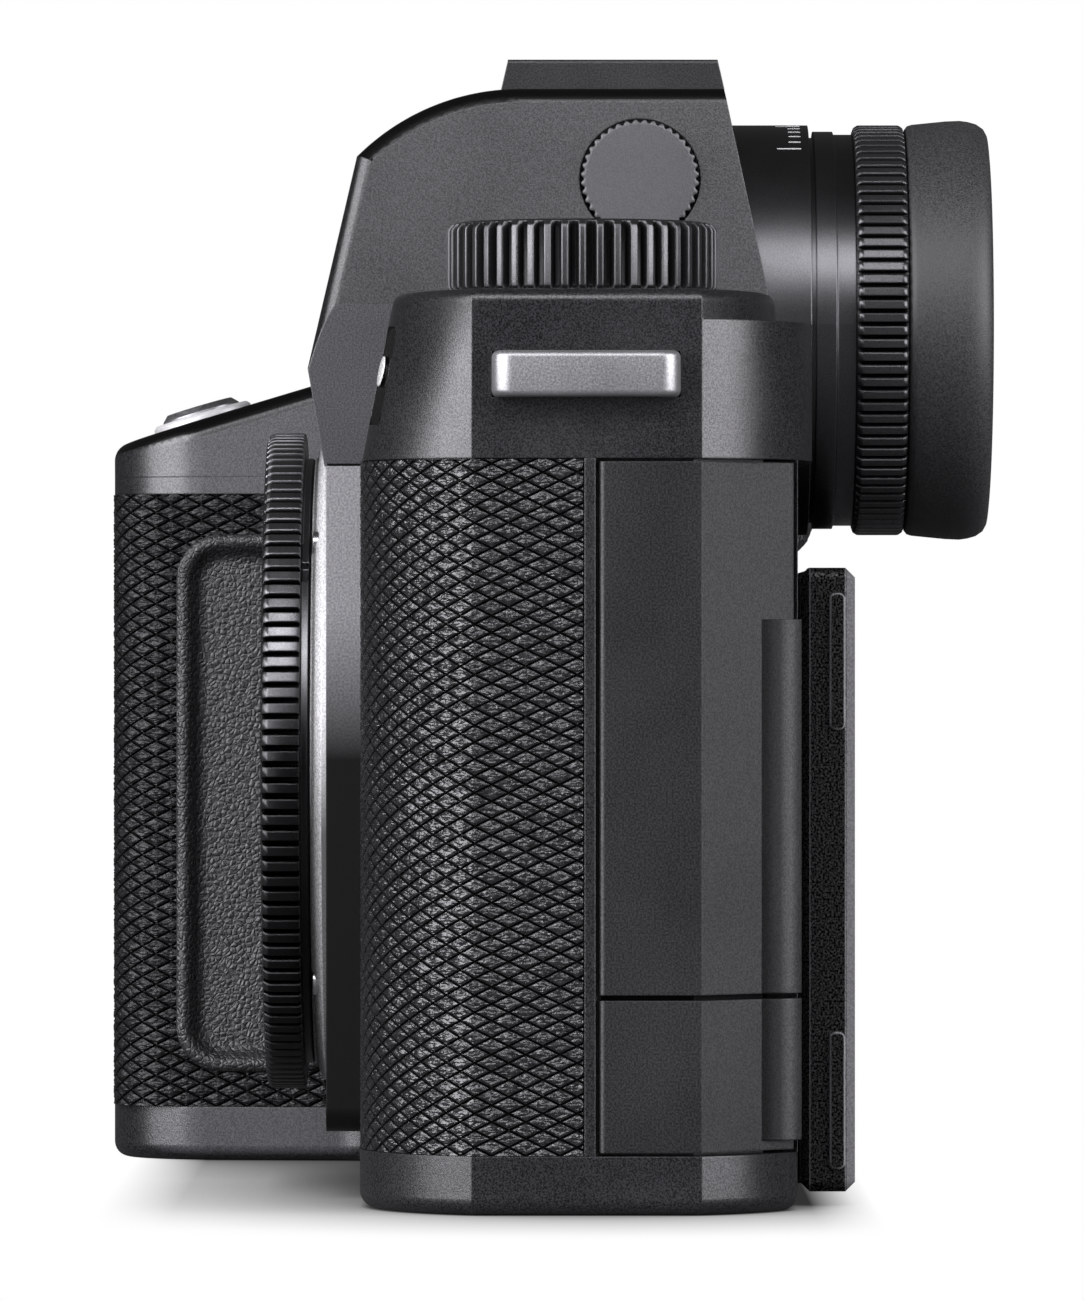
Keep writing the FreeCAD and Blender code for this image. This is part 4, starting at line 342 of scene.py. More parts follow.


# Body paint with painted light on set-back side faces and painted shade on their fillets and the door gap.
PAINT = painted("body_paint", (0.007, 0.0068, 0.0077), rough=0.33, grain=0.00016, depth=0.00001, specular=0.8,
                sparkle=0.2, specks=(0.0, 3.4), lift=(0.034, 0.0335, 0.0358))
DARK = painted("fitting_paint", (0.008, 0.008, 0.0086), rough=0.4, grain=0.00016, specular=0.78, sparkle=0.2)
CAP = anodised_cap_with_painted_light((0.24, 0.24, 0.248), (0.012, 0.012, 0.0125))
DIAL = painted("dial_anodised", (0.08, 0.08, 0.083), rough=0.3, grain=0.0001, depth=0.000008, metallic=0.85,
               specks=(0.75, 1.3))
DOOR = painted("door_polymer", (0.0095, 0.0095, 0.0101), rough=0.42, grain=0.00018, depth=0.00001,
               specular=0.6, specks=(0.2, 2.0), sparkle=0.15, lip=True)
FACE = painted("dial_face", (0.075, 0.0742, 0.078), rough=0.42, grain=0.00012, depth=0.000012, wear_and_highlight=1.5,
               specks=(0.8, 1.2))
BARREL = painted("barrel_black", (0.12, 0.12, 0.124), rough=0.3, grain=0.0001, depth=0.000005, metallic=1.0,
                 wear_and_highlight=1.3, specks=(0.85, 1.15))
SCREEN = painted("arm_paint", (0.009, 0.009, 0.009), rough=0.45, grain=0.00018, specular=0.5)
SCREEN_STRIP_Y = 0.0248
SHELL = screen_shell(BLACK, (0.12, 0.119, 0.124),
                     SCREEN_STRIP_Y - nodes["screen_body"].matrix_world.translation.y)
# The side leather darkened and with less highlight: painted shade on the grip.
PAINTED_SHADE_GRIP_LEATHER = hide("grip_leather_painted_shade", (0.007, 0.007, 0.0075), 0.42, 0.0005, 0.00002, 0.00045, 0.00009,
                 specular=0.45, groove=0.4)
LEATHER = hide("embossed_leather", (0.012, 0.012, 0.0128), 0.27, 0.0005, 0.00002, 0.00045, 0.00012)
PEBBLE = hide("pebbled_leather", (0.017, 0.0168, 0.0178), 0.42, 0.00055, 0.00006, 0.0003, 0.00002,
              specular=0.7)
# The mount panel: painted light on its side faces above a height, painted shade below.
PANEL = painted_light_by_height("mount_paint", (0.27, 0.269, 0.278), (0.004, 0.004, 0.004), (0.01, 0.0098, 0.0106), 0.42,
              0.041, 0.055)
RUBBER = hide("cup_rubber", (0.028, 0.028, 0.0292), 0.52, 0.00018, 0.000006, 0.0002, 0.000005, specular=0.7)
STEEL = metal("polished_steel", (0.78, 0.78, 0.8), 0.22)
# The flange: painted light on its side faces above a height, painted shade below.
FLANGE = painted_light_by_height("flange_steel", (0.93, 0.93, 0.93), (0.12, 0.12, 0.12), (0.6, 0.6, 0.6), 0.45, 0.034, 0.046)
COLLAR = metal("release_collar", (0.9, 0.9, 0.9), 0.4, share=0.5)
WINDOW = painted("lamp_window", (0.002, 0.002, 0.002), rough=0.3, grain=0.0002, depth=0.000002,
                 specular=0.15, wear_and_highlight=1.0)
SATIN = metal("satin_steel", (0.55, 0.55, 0.57), 0.34, brushed=(0.05, 1, 1))
LUG = metal("lug_satin", (0.37, 0.37, 0.378), 0.4, edge=0.0001, share=0.85, grain=0.0002, depth=0.000004)
GOLD = metal("gold_plate", (0.86, 0.62, 0.25), 0.25)
CAST = painted("cast_black", (0.02, 0.02, 0.02), rough=0.55, grain=0.0006, depth=0.00006)
GREY = painted("inner_polymer", (0.03, 0.03, 0.032), rough=0.5, grain=0.0004)


def glassy(name, colour, rough=0.06, coat=0.6):
    """Dark coated glass with faint smears."""
    made = Shader(name, colour, rough, specular=0.6, coat=coat)
    smear = made.noise(0.02, 2.0)
    made.link(made.remap(smear, 0.3, 0.7, rough, rough + 0.05), made.main.inputs["Roughness"])
    made.link(made.shade(smear, 0.9, 1.15), made.main.inputs["Base Color"])
    return made.done()


PANE = glassy("screen_pane", (0.012, 0.012, 0.014))
COATED = glassy("coated_lens", (0.02, 0.022, 0.05), 0.04, 1.0)
MARK = painted("mark_enamel", (0.85, 0.85, 0.85), rough=0.5, grain=0.0001, depth=0.000002, edge=0.00002,
               wear_and_highlight=1.0)
RED = painted("index_red", (0.45, 0.02, 0.015), rough=0.4, grain=0.0001, depth=0.000002, wear_and_highlight=1.0)
LAMP = painted("lamp_lens", (0.75, 0.74, 0.72), rough=0.25, grain=0.0002, depth=0.000004, edge=0.00005,
               wear_and_highlight=1.0)

DRESS = {
    PAINT: ("front_shell", "top_cover", "rear_cover", "base_plate"),
    PANEL: ("mount_panel",),
    FLANGE: ("mount_flange",),
    LEATHER: ("side_skin", "grip_skin", "finger_pad", "thumb_rest"),
    DARK: ("lens_release", "top_key_left", "top_key_right", "power_button", "front_key", "play_key",
           "menu_key", "joystick_ring", "joystick_cap", "shoe_rails", "battery_lever"),
    WINDOW: ("lamp_plate",),
    COLLAR: ("shutter_collar",),
    DIAL: ("mode_dial", "thumb_dial", "side_dial", "body_cap", "dioptre_ring"),
    BARREL: ("eyepiece_barrel", "viewfinder_block"),
    DOOR: ("port_door_upper", "port_door_lower", "card_door"),
    SCREEN: ("screen_arm", "battery"),
    SHELL: ("screen_body",),
    RUBBER: ("eyecup",),
    STEEL: ("flange_screws", "lock_pin", "tripod_bush", "audio_jacks", "data_sockets"),
    SATIN: ("base_screws", "shutter_button"),
    LUG: ("left_lug", "right_lug"),
    GOLD: ("shoe_contacts",),
    CAST: ("mount_chassis",),
    GREY: ("mount_contacts", "shutter_unit", "sensor_stage", "main_board", "battery_bay", "card_slots",
           "port_panel"),
    PANE: ("screen_glass", "display_glass", "viewfinder_display"),
    COATED: ("eyepiece_lens", "sensor_glass"),
}
for material, names in DRESS.items():
    for name in names:
        nodes[name].data.materials.clear()
        nodes[name].data.materials.append(material)


def piece(name, verts, faces, material, body, smooth=None, slot=None, replaces=()):
    """A mesh piece that rides on a body."""
    mesh = bpy.data.meshes.new(name)
    mesh.from_pydata([Vector(v) for v in verts], [], faces)
    mesh.validate()
    made = bpy.data.objects.new(name, mesh)
    bpy.context.scene.collection.objects.link(made)
    mesh.materials.append(material)
    if smooth is not None:
        for polygon in mesh.polygons:
            polygon.use_smooth = True
        if smooth:
            work = bmesh.new()
            work.from_mesh(mesh)
            for edge in work.edges:
                if len(edge.link_faces) == 2 and edge.calc_face_angle(0) > math.radians(smooth):
                    edge.smooth = False
            work.to_mesh(mesh)
            work.free()
    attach(made, body)
    if replaces:
        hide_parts(*replaces)
    return made


def along_path(path):
    """How far along a path of points in the plane each of them lies."""
    lengths = [0.0]
    for first, second in zip(path, path[1:]):
        lengths.append(lengths[-1] + math.dist(first, second))
    return lengths


def arc(centre, radius, start, end, steps):
    """Points of an arc between two angles in degrees."""
    return [(centre[0] + radius * math.cos(math.radians(start + (end - start) * k / steps)),
             centre[1] + radius * math.sin(math.radians(start + (end - start) * k / steps)))
            for k in range(steps + 1)]


def place_on(path, lengths, distance):
    """The point at a distance along a path, and the path's direction there."""
    distance = min(max(distance, 0.0), lengths[-1])
    index = max(i for i in range(len(lengths) - 1) if lengths[i] <= distance + 1e-9)
    first, second = path[index], path[index + 1]
    span = lengths[index + 1] - lengths[index]
    share = (distance - lengths[index]) / span
    point = (first[0] + (second[0] - first[0]) * share, first[1] + (second[1] - first[1]) * share)
    run = ((second[0] - first[0]) / span, (second[1] - first[1]) / span)
    return point, run


def smooth_normal(path, lengths, distance, side):
    """The outward normal, averaged over a short stretch of the path."""
    total = Vector((0, 0))
    for shift in (-0.25, 0.0, 0.25):
        _, run = place_on(path, lengths, distance + shift)
        total += Vector((run[1] * side, -run[0] * side))
    return total.normalized()


RHOMB_WIDE, RHOMB_HIGH = 3.1, 1.53
RHOMB_STEPS = (-1.0, -0.83, -0.56, -0.28, 0.0, 0.28, 0.56, 0.83, 1.0)


GROOVE_Z, SHOULDER_Z, TOP_Z, HIGHEST_Z = -0.5, -0.17, -0.06, -0.005
HEM_Z = -0.7


def rhomb_height(p, q, seed):
    """The height of a leather rhomb, below its skin, in mm; p and q run from -1 to 1 across it."""
    rim = max(abs(p), abs(q))
    if rim > 0.99:
        return GROOVE_Z
    if rim > 0.7:
        return SHOULDER_Z
    rough = noise.noise(Vector((p * 2.4 + seed * 7.1, q * 2.4, seed * 3.7)))
    return min(TOP_Z + 0.13 * rough, HIGHEST_Z)


def diamond_leather(name, path, low, high, side, body, replaces, material, window=None):
    """Embossed leather along a path seen from above: raised rhombs with rough tops.

    It is laid out flat first, x along the path and y up, and cut to its outline and window there.
    """
    lengths = along_path(path)
    total = lengths[-1]
    work = bmesh.new()
    random.seed(11)
    columns = int(total / RHOMB_WIDE) + 2
    rows = int((high - low) / RHOMB_HIGH) + 2
    made = {}

    def vertex(u, v, height):
        key = (round(u, 3), round(v, 3))
        if key not in made:
            made[key] = work.verts.new((u, v, height))
        return made[key]

    for column in range(-1, 2 * columns):
        for row in range(-1, rows):
            centre_u = column * RHOMB_WIDE / 2
            centre_v = low + (row + 0.5 * (column % 2)) * RHOMB_HIGH
            if centre_u > total + RHOMB_WIDE or centre_v > high + RHOMB_HIGH:
                continue
            seed = random.random() * 10
            grid = []
            for p in RHOMB_STEPS:
                grid.append([vertex(centre_u + RHOMB_WIDE / 2 * (p + q) / 2,
                                    centre_v + RHOMB_HIGH / 2 * (p - q) / 2,
                                    rhomb_height(p, q, seed)) for q in RHOMB_STEPS])
            for i in range(len(RHOMB_STEPS) - 1):
                for j in range(len(RHOMB_STEPS) - 1):
                    work.faces.new((grid[i][j], grid[i + 1][j], grid[i + 1][j + 1], grid[i][j + 1]))
    for point, way in (((0, 0, 0), (-1, 0, 0)), ((total, 0, 0), (1, 0, 0)),
                       ((0, low, 0), (0, -1, 0)), ((0, high, 0), (0, 1, 0))):
        bmesh.ops.bisect_plane(work, geom=work.verts[:] + work.edges[:] + work.faces[:], plane_co=point,
                               plane_no=way, clear_outer=True)
    if window:
        u_low, u_high, v_low, v_high, round_corner = window
        inside = [face for face in work.faces
                  if in_round_box(face.calc_center_median(), u_low, u_high, v_low, v_high, round_corner)]
        bmesh.ops.delete(work, geom=inside, context="FACES")
    border = [edge for edge in work.edges if len(edge.link_faces) == 1]
    extruded = bmesh.ops.extrude_edge_only(work, edges=border)
    for item in extruded["geom"]:
        if isinstance(item, bmesh.types.BMVert):
            item.co.z = HEM_Z
    bmesh.ops.recalc_face_normals(work, faces=work.faces[:])
    # The deep attribute marks painted shade in the grooves between rhombs.
    deep = work.verts.layers.float.new("deep")
    for vert in work.verts:
        vert[deep] = min(1.0, max(0.0, (-vert.co.z - 0.3) / 0.2))
        point, _ = place_on(path, lengths, vert.co.x)
        normal = smooth_normal(path, lengths, vert.co.x, side)
        height = vert.co.z
        vert.co = Vector(((point[0] + normal.x * height) * MM, (point[1] + normal.y * height) * MM,
                          vert.co.y * MM))
    mesh = bpy.data.meshes.new(name)
    work.to_mesh(mesh)
    work.free()
    mesh.materials.append(material)
    made_object = bpy.data.objects.new(name, mesh)
    bpy.context.scene.collection.objects.link(made_object)
    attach(made_object, body)
    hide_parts(*replaces)
    return made_object


def in_round_box(point, u_low, u_high, v_low, v_high, radius):
    """Whether a point lies in a box with rounded corners."""
    across = max(u_low + radius - point.x, point.x - u_high + radius, 0)
    along = max(v_low + radius - point.y, point.y - v_high + radius, 0)
    if point.x < u_low or point.x > u_high or point.y < v_low or point.y > v_high:
        return False
    return math.hypot(across, along) <= radius


# Leather of the left side: from the mount panel round the front corner.
corner_turn = math.degrees(math.asin((SIDE_X - CORNER_X) / CORNER_R))
side_path = [(PANEL_EDGE_X, FRONT_Y)]
side_path += arc((CORNER_X, FRONT_Y + CORNER_R), CORNER_R, -90, -90 + corner_turn, 24)
side_path += [(SIDE_X, SIDE_LEATHER_END)]
diamond_leather("side_leather", side_path, LEATHER_LOW, 68.6, 1, "camera", ("side_skin",), LEATHER)


def rounded(points, steps=10):
    """A path of (x, y, radius) corners with its corners rounded."""
    made = []
    for index, (x, y, radius) in enumerate(points):
        if not radius:
            made.append((x, y))
            continue
        back = Vector((points[index - 1][0] - x, points[index - 1][1] - y)).normalized()
        ahead = Vector((points[(index + 1) % len(points)][0] - x,
                        points[(index + 1) % len(points)][1] - y)).normalized()
        half = back.angle(ahead) / 2
        centre = Vector((x, y)) + (back + ahead).normalized() * radius / math.sin(half)
        start = Vector((x, y)) + back * radius / math.tan(half) - centre
        end = Vector((x, y)) + ahead * radius / math.tan(half) - centre
        turn = end.angle_signed(start)
        for k in range(steps + 1):
            share = turn * k / steps
            made.append((centre.x + start.x * math.cos(share) - start.y * math.sin(share),
                         centre.y + start.x * math.sin(share) + start.y * math.cos(share)))
    return made


# Leather round the grip, open where the finger pad sits.
grip_path = rounded([(-78.2, -4.0, 0), (-78.2, GRIP_FRONT_Y, 16.0), (GRIP_NOSE_X, GRIP_FRONT_Y, 6.0),
                     (GRIP_ROOT_X, FRONT_Y, 4.0), (-PANEL_EDGE_X, FRONT_Y, 0)])
SLANT = math.atan((GRIP_ROOT_X - GRIP_NOSE_X) / (FRONT_Y - GRIP_FRONT_Y))


def grip_distance(y):
    """The distance along the grip's path of a place on its inner side."""
    lengths = along_path(grip_path)
    first = next(i for i, point in enumerate(grip_path) if point[0] > -40.2 and point[1] > -43)
    return lengths[first] + (y - grip_path[first][1]) / math.cos(SLANT)


PAD_BACK, PAD_FRONT, PAD_LOW, PAD_HIGH = -23.0, -40.1, 8.9, 63.0
PAD_LAP = 0.7  # how far the leather reaches under the pad's rim
diamond_leather("grip_leather", grip_path, LEATHER_LOW, 66.95, 1, "camera", ("grip_skin",), PAINTED_SHADE_GRIP_LEATHER,
                window=(grip_distance(PAD_FRONT) + PAD_LAP, grip_distance(PAD_BACK) - PAD_LAP,
                        PAD_LOW + PAD_LAP, PAD_HIGH - PAD_LAP, 4.0))


PEBBLE_WIDE, PEBBLE_TALL = 0.6, 0.085


def pebble(x, y, size):
    """The height, from 0 to 1, of pebbled leather at a point in mm."""
    near = noise.voronoi(Vector((x / size, y / size, 0.37)))[0]
    return min(1.0, (near[1] - near[0]) * 2.2) * 0.85 + 0.15 * noise.noise(Vector((x * 2.1, y * 2.1, 1.3)))


def pebbled_grid(u_low, u_high, v_low, v_high, step, inside, height):
    """Vertices and faces of a fine grid in a plane, raised by a height of (u, v)."""
    columns = int((u_high - u_low) / step) + 1
    rows = int((v_high - v_low) / step) + 1
    index, verts, faces = {}, [], []
    for i in range(columns + 1):
        for j in range(rows + 1):
            u, v = u_low + (u_high - u_low) * i / columns, v_low + (v_high - v_low) * j / rows
            if inside(u, v):
                index[i, j] = len(verts)
                verts.append((u, v, height(u, v)))
    for i in range(columns):
        for j in range(rows):
            corners = [(i, j), (i + 1, j), (i + 1, j + 1), (i, j + 1)]
            if all(corner in index for corner in corners):
                faces.append([index[corner] for corner in corners])
    return verts, faces


def sweep(outline, profile):
    """A profile of (inward, height) carried round a closed outline in a plane."""
    verts, faces = [], []
    count, rows = len(outline), len(profile)
    for k, (x, y) in enumerate(outline):
        before, after = Vector(outline[k - 1]), Vector(outline[(k + 1) % count])
        run = (after - before).normalized()
        inward = Vector((-run.y, run.x))
        for distance, height in profile:
            verts.append((x + inward.x * distance, y + inward.y * distance, height))
    for k in range(count):
        for r in range(rows - 1):
            one, two = k * rows + r, (k + 1) % count * rows + r
            faces.append((one, two, two + 1, one + 1))
    return verts, faces


def merge(*parts):
    """Several (verts, faces) pairs as one."""
    verts, faces = [], []
    for some_verts, some_faces in parts:
        base = len(verts)
        verts += some_verts
        faces += [[base + number for number in face] for face in some_faces]
    return verts, faces


def finger_pad():
    """A smooth raised rim round a pebbled floor, on the slanted inner side of the grip."""
    low, high = (PAD_FRONT - FRONT_Y) / math.cos(SLANT), (PAD_BACK - FRONT_Y) / math.cos(SLANT)
    corner, lap, floor_z = 4.6, 2.6, -0.88
    outline = rounded([(low, PAD_LOW, corner), (high, PAD_LOW, corner), (high, PAD_HIGH, corner),
                       (low, PAD_HIGH, corner)], 14)
    rim = sweep(outline, [(0.04, -0.5), (0.04, 0.05), (0.2, 0.28), (0.5, 0.44), (0.8, 0.5), (1.1, 0.45),
                          (1.4, 0.26), (1.7, -0.04), (1.95, -0.36), (2.2, -0.6), (2.5, -0.76), (2.9, -0.84)])

    def inside(u, v):
        return in_round_box(Vector((u, v)), low + lap, high - lap, PAD_LOW + lap, PAD_HIGH - lap, 2.2)

    floor = pebbled_grid(low, high, PAD_LOW, PAD_HIGH, 0.15, inside,
                         lambda u, v: floor_z + PEBBLE_TALL * pebble(u, v, PEBBLE_WIDE))
    verts, faces = merge(rim, floor)
    placed = []
    for u, v, height in verts:
        across = GRIP_ROOT_X + u * math.sin(SLANT) + height * math.cos(SLANT)
        along = FRONT_Y + u * math.cos(SLANT) - height * math.sin(SLANT)
        placed.append((across * MM, along * MM, v * MM))
    piece("finger_rest", placed, faces, PEBBLE, "camera", smooth=60, slot="leather", replaces=("finger_pad",))


finger_pad()


def thumb_pad():
    """The pebbled thumb rest, bulging from the rear of the grip."""
    inner, outer, roll, root_y = 47.05, 71.95, 2.0, 0.0202
    profile = [(20.25, 60.35), (21.9, 60.4), (23.6, 62.2), (24.4, 64.2), (24.62, 66.5), (24.62, 72.0),
               (24.3, 75.0), (23.4, 78.0), (22.4, 80.2), (21.75, 80.3)]
    lengths = along_path(profile)
    total = lengths[-1]

    def height(u, v):
        edge = min(u - inner, outer - u, roll)
        return PEBBLE_TALL * pebble(u, v, PEBBLE_WIDE) - 0.75 * (1 - max(edge, 0) / roll) ** 2 - 0.1

    verts, faces = pebbled_grid(inner, outer, 0.0, total, 0.2, lambda u, v: True, height)
    placed = []
    for u, v, up in verts:
        point, run = place_on(profile, lengths, v)
        end = min(v, total - v, 0.8) / 0.8
        placed.append((-u * MM, (point[0] + run[1] * up * end) * MM, (point[1] - run[0] * up * end) * MM))
    skirt = []
    for place, way in ((inner, -1), (outer, 1)):
        x = -place * MM
        ring = [(x, point[0] * MM - 0.0007, point[1] * MM) for point in profile]
        ring += [(x, root_y, 0.0803), (x, root_y, 0.0604)]
        skirt.append((ring, [list(range(len(ring)))[::way]]))
    verts, faces = merge((placed, faces), *skirt)
    piece("thumb_leather", verts, faces, PEBBLE, "camera", smooth=60, slot="leather",
          replaces=("thumb_rest",))


thumb_pad()


def knurled(name, centre, axis, up, rows, count, notch, material, body, replaces=(), slot=None, phase=0.0,
            sharp=40, dent=None, blacken=0.0):
    """A turned piece with ridges round it.

    rows are (radius, height, depth of the grooves), and notch is a list of (share of the pitch, share of the
    depth). dent is a shallow cut between two angles and two heights. blacken is how dark the painted shade
    in the grooves is, kept with the mesh as its "deep" attribute.
    """
    axis, up = Vector(axis), Vector(up)
    side = axis.cross(up)
    verts, faces, painted_groove_shade = [], [], []
    angles = [(2 * math.pi * (k + share + phase) / count, deep)
              for k in range(count) for share, deep in notch]
    for radius, height, depth in rows:
        for angle, deep in angles:
            # Painted shade in the grooves, by their depth.
            painted_groove_shade.append(min(1.0, depth * deep / 0.3) * blacken)
            reach = radius - depth * deep
            if dent and dent[0] <= math.degrees(angle) <= dent[1] and dent[2] <= height <= dent[3]:
                reach -= dent[4]
            spot = Vector(centre) + axis * height + (up * math.cos(angle) + side * math.sin(angle)) * reach
            verts.append(spot * MM)
    width = len(angles)
    for r in range(len(rows) - 1):
        for k in range(width):
            one, two = r * width + k, r * width + (k + 1) % width
            faces.append((one, two, two + width, one + width))
    for row, turned in ((0, False), (len(rows) - 1, True)):
        if rows[row][0] < 0.5:
            ring = [row * width + k for k in range(width)]
            faces.append(ring if turned else ring[::-1])
    made = piece(name, verts, faces, material, body, smooth=sharp, slot=slot, replaces=replaces)
    marks = made.data.attributes.new("deep", "FLOAT", "POINT")
    marks.data.foreach_set("value", painted_groove_shade)


UP, BACK, LEFT, FRONT = (0, 0, 1), (0, 1, 0), (1, 0, 0), (0, -1, 0)
RIDGE = [(-0.13, 1), (0.13, 1), (0.17, 0.15), (0.22, 0), (0.78, 0), (0.83, 0.15)]
FLUTE = [(-0.13, 1), (0.13, 1), (0.3, 0.1), (0.35, 0), (0.65, 0), (0.7, 0.1)]
SCALLOP = [(-0.375, 0.1), (-0.25, 0.45), (-0.125, 0.85), (0, 1), (0.125, 0.85), (0.25, 0.45), (0.375, 0.1),
           (0.5, 0)]
PLAIN = [(0, 0)]

knurled("cap_body", (0, -29.7, LENS_HIGH), BACK, UP,
        [(0.001, 0.35, 0), (19.6, 0.35, 0), (19.9, 0.42, 0), (20.6, 0.42, 0), (20.9, 0.35, 0), (28.9, 0.35, 0),
         (29.5, 0.04, 0), (29.8, 0.0, 0), (31.0, 0.0, 0), (31.3, 0.12, 0.1), (31.55, 0.4, 0.6),
         (31.65, 0.75, 0.75), (31.65, 3.35, 0.75), (31.55, 3.6, 0.6), (31.25, 3.65, 0), (29.35, 3.65, 0),
         (29.2, 3.75, 0), (29.2, 4.35, 0), (29.05, 4.5, 0), (25.5, 4.5, 0), (25.5, 8.5, 0), (25.3, 8.7, 0),
         (23.6, 8.7, 0), (23.5, 8.5, 0), (23.5, 2.0, 0), (0.001, 2.0, 0)],
        132, RIDGE, CAP, "body_cap", ("body_cap",), "black_anodised", dent=(49.6, 52.6, 3.7, 4.4, 0.9),
        blacken=1.0)
knurled("mode_wheel", (MODE_X, MODE_Y, DIAL_HIGH), UP, LEFT,
        [(3.0, -4.2, 0), (3.0, 0.02, 0), (11.7, 0.02, 0), (12.2, 0.15, 0.1), (12.5, 0.5, 0.75),
         (12.55, 0.8, 0.85), (12.55, 5.75, 0.85), (12.45, 6.05, 0.65), (12.1, 6.42, 0.1), (11.7, 6.6, 0),
         (10.9, 6.6, 0), (10.75, 6.5, 0), (5.3, 6.5, 0), (5.15, 6.58, 0), (3.4, 6.58, 0), (2.9, 6.3, 0),
         (0.001, 6.2, 0)],
        48, FLUTE, DIAL, "mode_dial", ("mode_dial",), "black_anodised", phase=0.5, blacken=0.8, sharp=22)
knurled("thumb_wheel", (-62.0, 5.0, DIAL_HIGH), UP, LEFT,
        [(3.0, -4.2, 0), (3.0, 0.02, 0), (9.3, 0.02, 0), (9.8, 0.25, 0.2), (10.0, 0.6, 0.5), (10.0, 3.9, 0.5),
         (9.85, 4.3, 0.3), (9.4, 4.6, 0), (8.4, 4.6, 0), (8.25, 4.5, 0), (0.001, 4.5, 0)],
        40, FLUTE, DIAL, "thumb_dial", ("thumb_dial",), "black_anodised", blacken=0.5)
knurled("side_wheel", (17.1, 6.0, 96.0), LEFT, UP,
        [(2.0, -2.4, 0), (2.0, 0.02, 0), (5.35, 0.02, 0), (5.58, 0.2, 0.28), (5.6, 0.4, 0.3), (5.6, 2.3, 0.3),
         (5.54, 2.42, 0.27), (5.4, 2.5, 0.2), (5.1, 2.5, 0), (0.001, 2.5, 0)],
        40, SCALLOP, FACE, "side_dial", ("side_dial",), "black_anodised")
knurled("turn_ring", (0, 0, EYE_HIGH), BACK, UP,
        [(17.46, 26.62, 0), (19.2, 26.62, 0), (19.55, 26.75, 0.2), (19.78, 27.1, 0.45), (19.8, 27.3, 0.5),
         (19.8, 30.9, 0.5), (19.78, 31.1, 0.45), (19.55, 31.45, 0.2), (19.2, 31.58, 0), (17.46, 31.58, 0)],
        100, RIDGE, DIAL, "eyepiece_ring", ("dioptre_ring",), "black_anodised", blacken=1.0)
knurled("eye_cup", (0, 0, EYE_HIGH), BACK, UP,
        [(14.5, 31.62, 0), (14.5, 36.0, 0), (14.7, 36.6, 0), (17.2, 39.1, 0), (17.8, 39.48, 0),
         (18.4, 39.6, 0), (18.9, 39.55, 0), (19.45, 39.25, 0), (19.9, 38.6, 0), (20.13, 37.8, 0), (20.24, 37.0, 0),
         (20.18, 35.6, 0), (19.98, 33.6, 0), (19.86, 32.4, 0), (19.72, 31.95, 0), (19.4, 31.7, 0),
         (19.0, 31.62, 0)],
        192, PLAIN, RUBBER, "eyepiece_ring", ("eyecup",), "rubber", sharp=60)


def eye_lens():
    """The eyepiece's outer lens, a shallow dome."""
    reach, rise, back, front = 12.98, 2.2, 26.22, 30.18
    bend = (reach ** 2 + rise ** 2) / (2 * rise)
    radii = [reach * k / 12 for k in range(12, 0, -1)]
    dome = [(radius, front - bend + math.sqrt(bend ** 2 - radius ** 2), 0) for radius in radii]
    knurled("eye_glass", (0, 0, EYE_HIGH), BACK, UP,
            [(0.4, back, 0), (reach, back, 0)] + dome + [(0.02, front, 0)],
            96, PLAIN, COATED, "camera", ("eyepiece_lens",), "glass", sharp=50)


eye_lens()


def slab(origin, across, along, half_wide, half_long, thick, edge=0.0):
    """A small plate standing on a surface, with a broken edge: (verts, faces) in metres."""
    across, along = Vector(across).normalized(), Vector(along).normalized()
    away = across.cross(along)
    verts, faces = [], []
    for height, shrink in ((0, 0), (thick - edge, 0), (thick, edge)):
        for i, j in ((-1, -1), (1, -1), (1, 1), (-1, 1)):
            corner = across * i * (half_wide - shrink) + along * j * (half_long - shrink)
            verts.append((Vector(origin) + corner + away * height) * MM)
    for level in (0, 4):
        for k in range(4):
            faces.append((level + k, level + (k + 1) % 4, level + 4 + (k + 1) % 4, level + 4 + k))
    faces += [(3, 2, 1, 0), (8, 9, 10, 11)]
    return verts, faces


def eyepiece_marks():
    """The white scale of the eyepiece, over the top of its barrel."""
    first, step, scale_end, surface = 30.4, 4.28, 21.5, 19.79
    parts = []
    for number in range(13):
        angle = math.radians(first - step * number)
        out = Vector((math.sin(angle), 0, math.cos(angle)))
        rim = Vector((math.cos(angle), 0, -math.sin(angle)))
        long = 1.15 if number % 5 == 0 else 0.58
        spot = Vector((0, scale_end - long, EYE_HIGH)) + out * surface
        parts.append(slab(spot, rim, BACK, 0.1, long, 0.03, 0.005))
    piece("eyepiece_scale", *merge(*parts), MARK, "camera")


eyepiece_marks()


def dial_marks():
    """Index marks on the mode dial and on the shoulder beside it."""
    parts = []
    for number in range(10):
        angle = math.radians(36 * number)
        out = Vector((math.cos(angle), math.sin(angle), 0))
        spot = Vector((MODE_X, MODE_Y, 90.7)) + out * 8.6
        parts.append(slab(spot, out, Vector(UP).cross(out), 0.9, 0.13, 0.03, 0.005))
    piece("mode_marks", *merge(*parts), MARK, "mode_dial")
    index = slab((27.6, MODE_Y, 84.1), (1, 0, 0), (0, 1, 0), 0.8, 0.15, 0.03, 0.005)
    piece("mode_index", *index, MARK, "camera")


dial_marks()


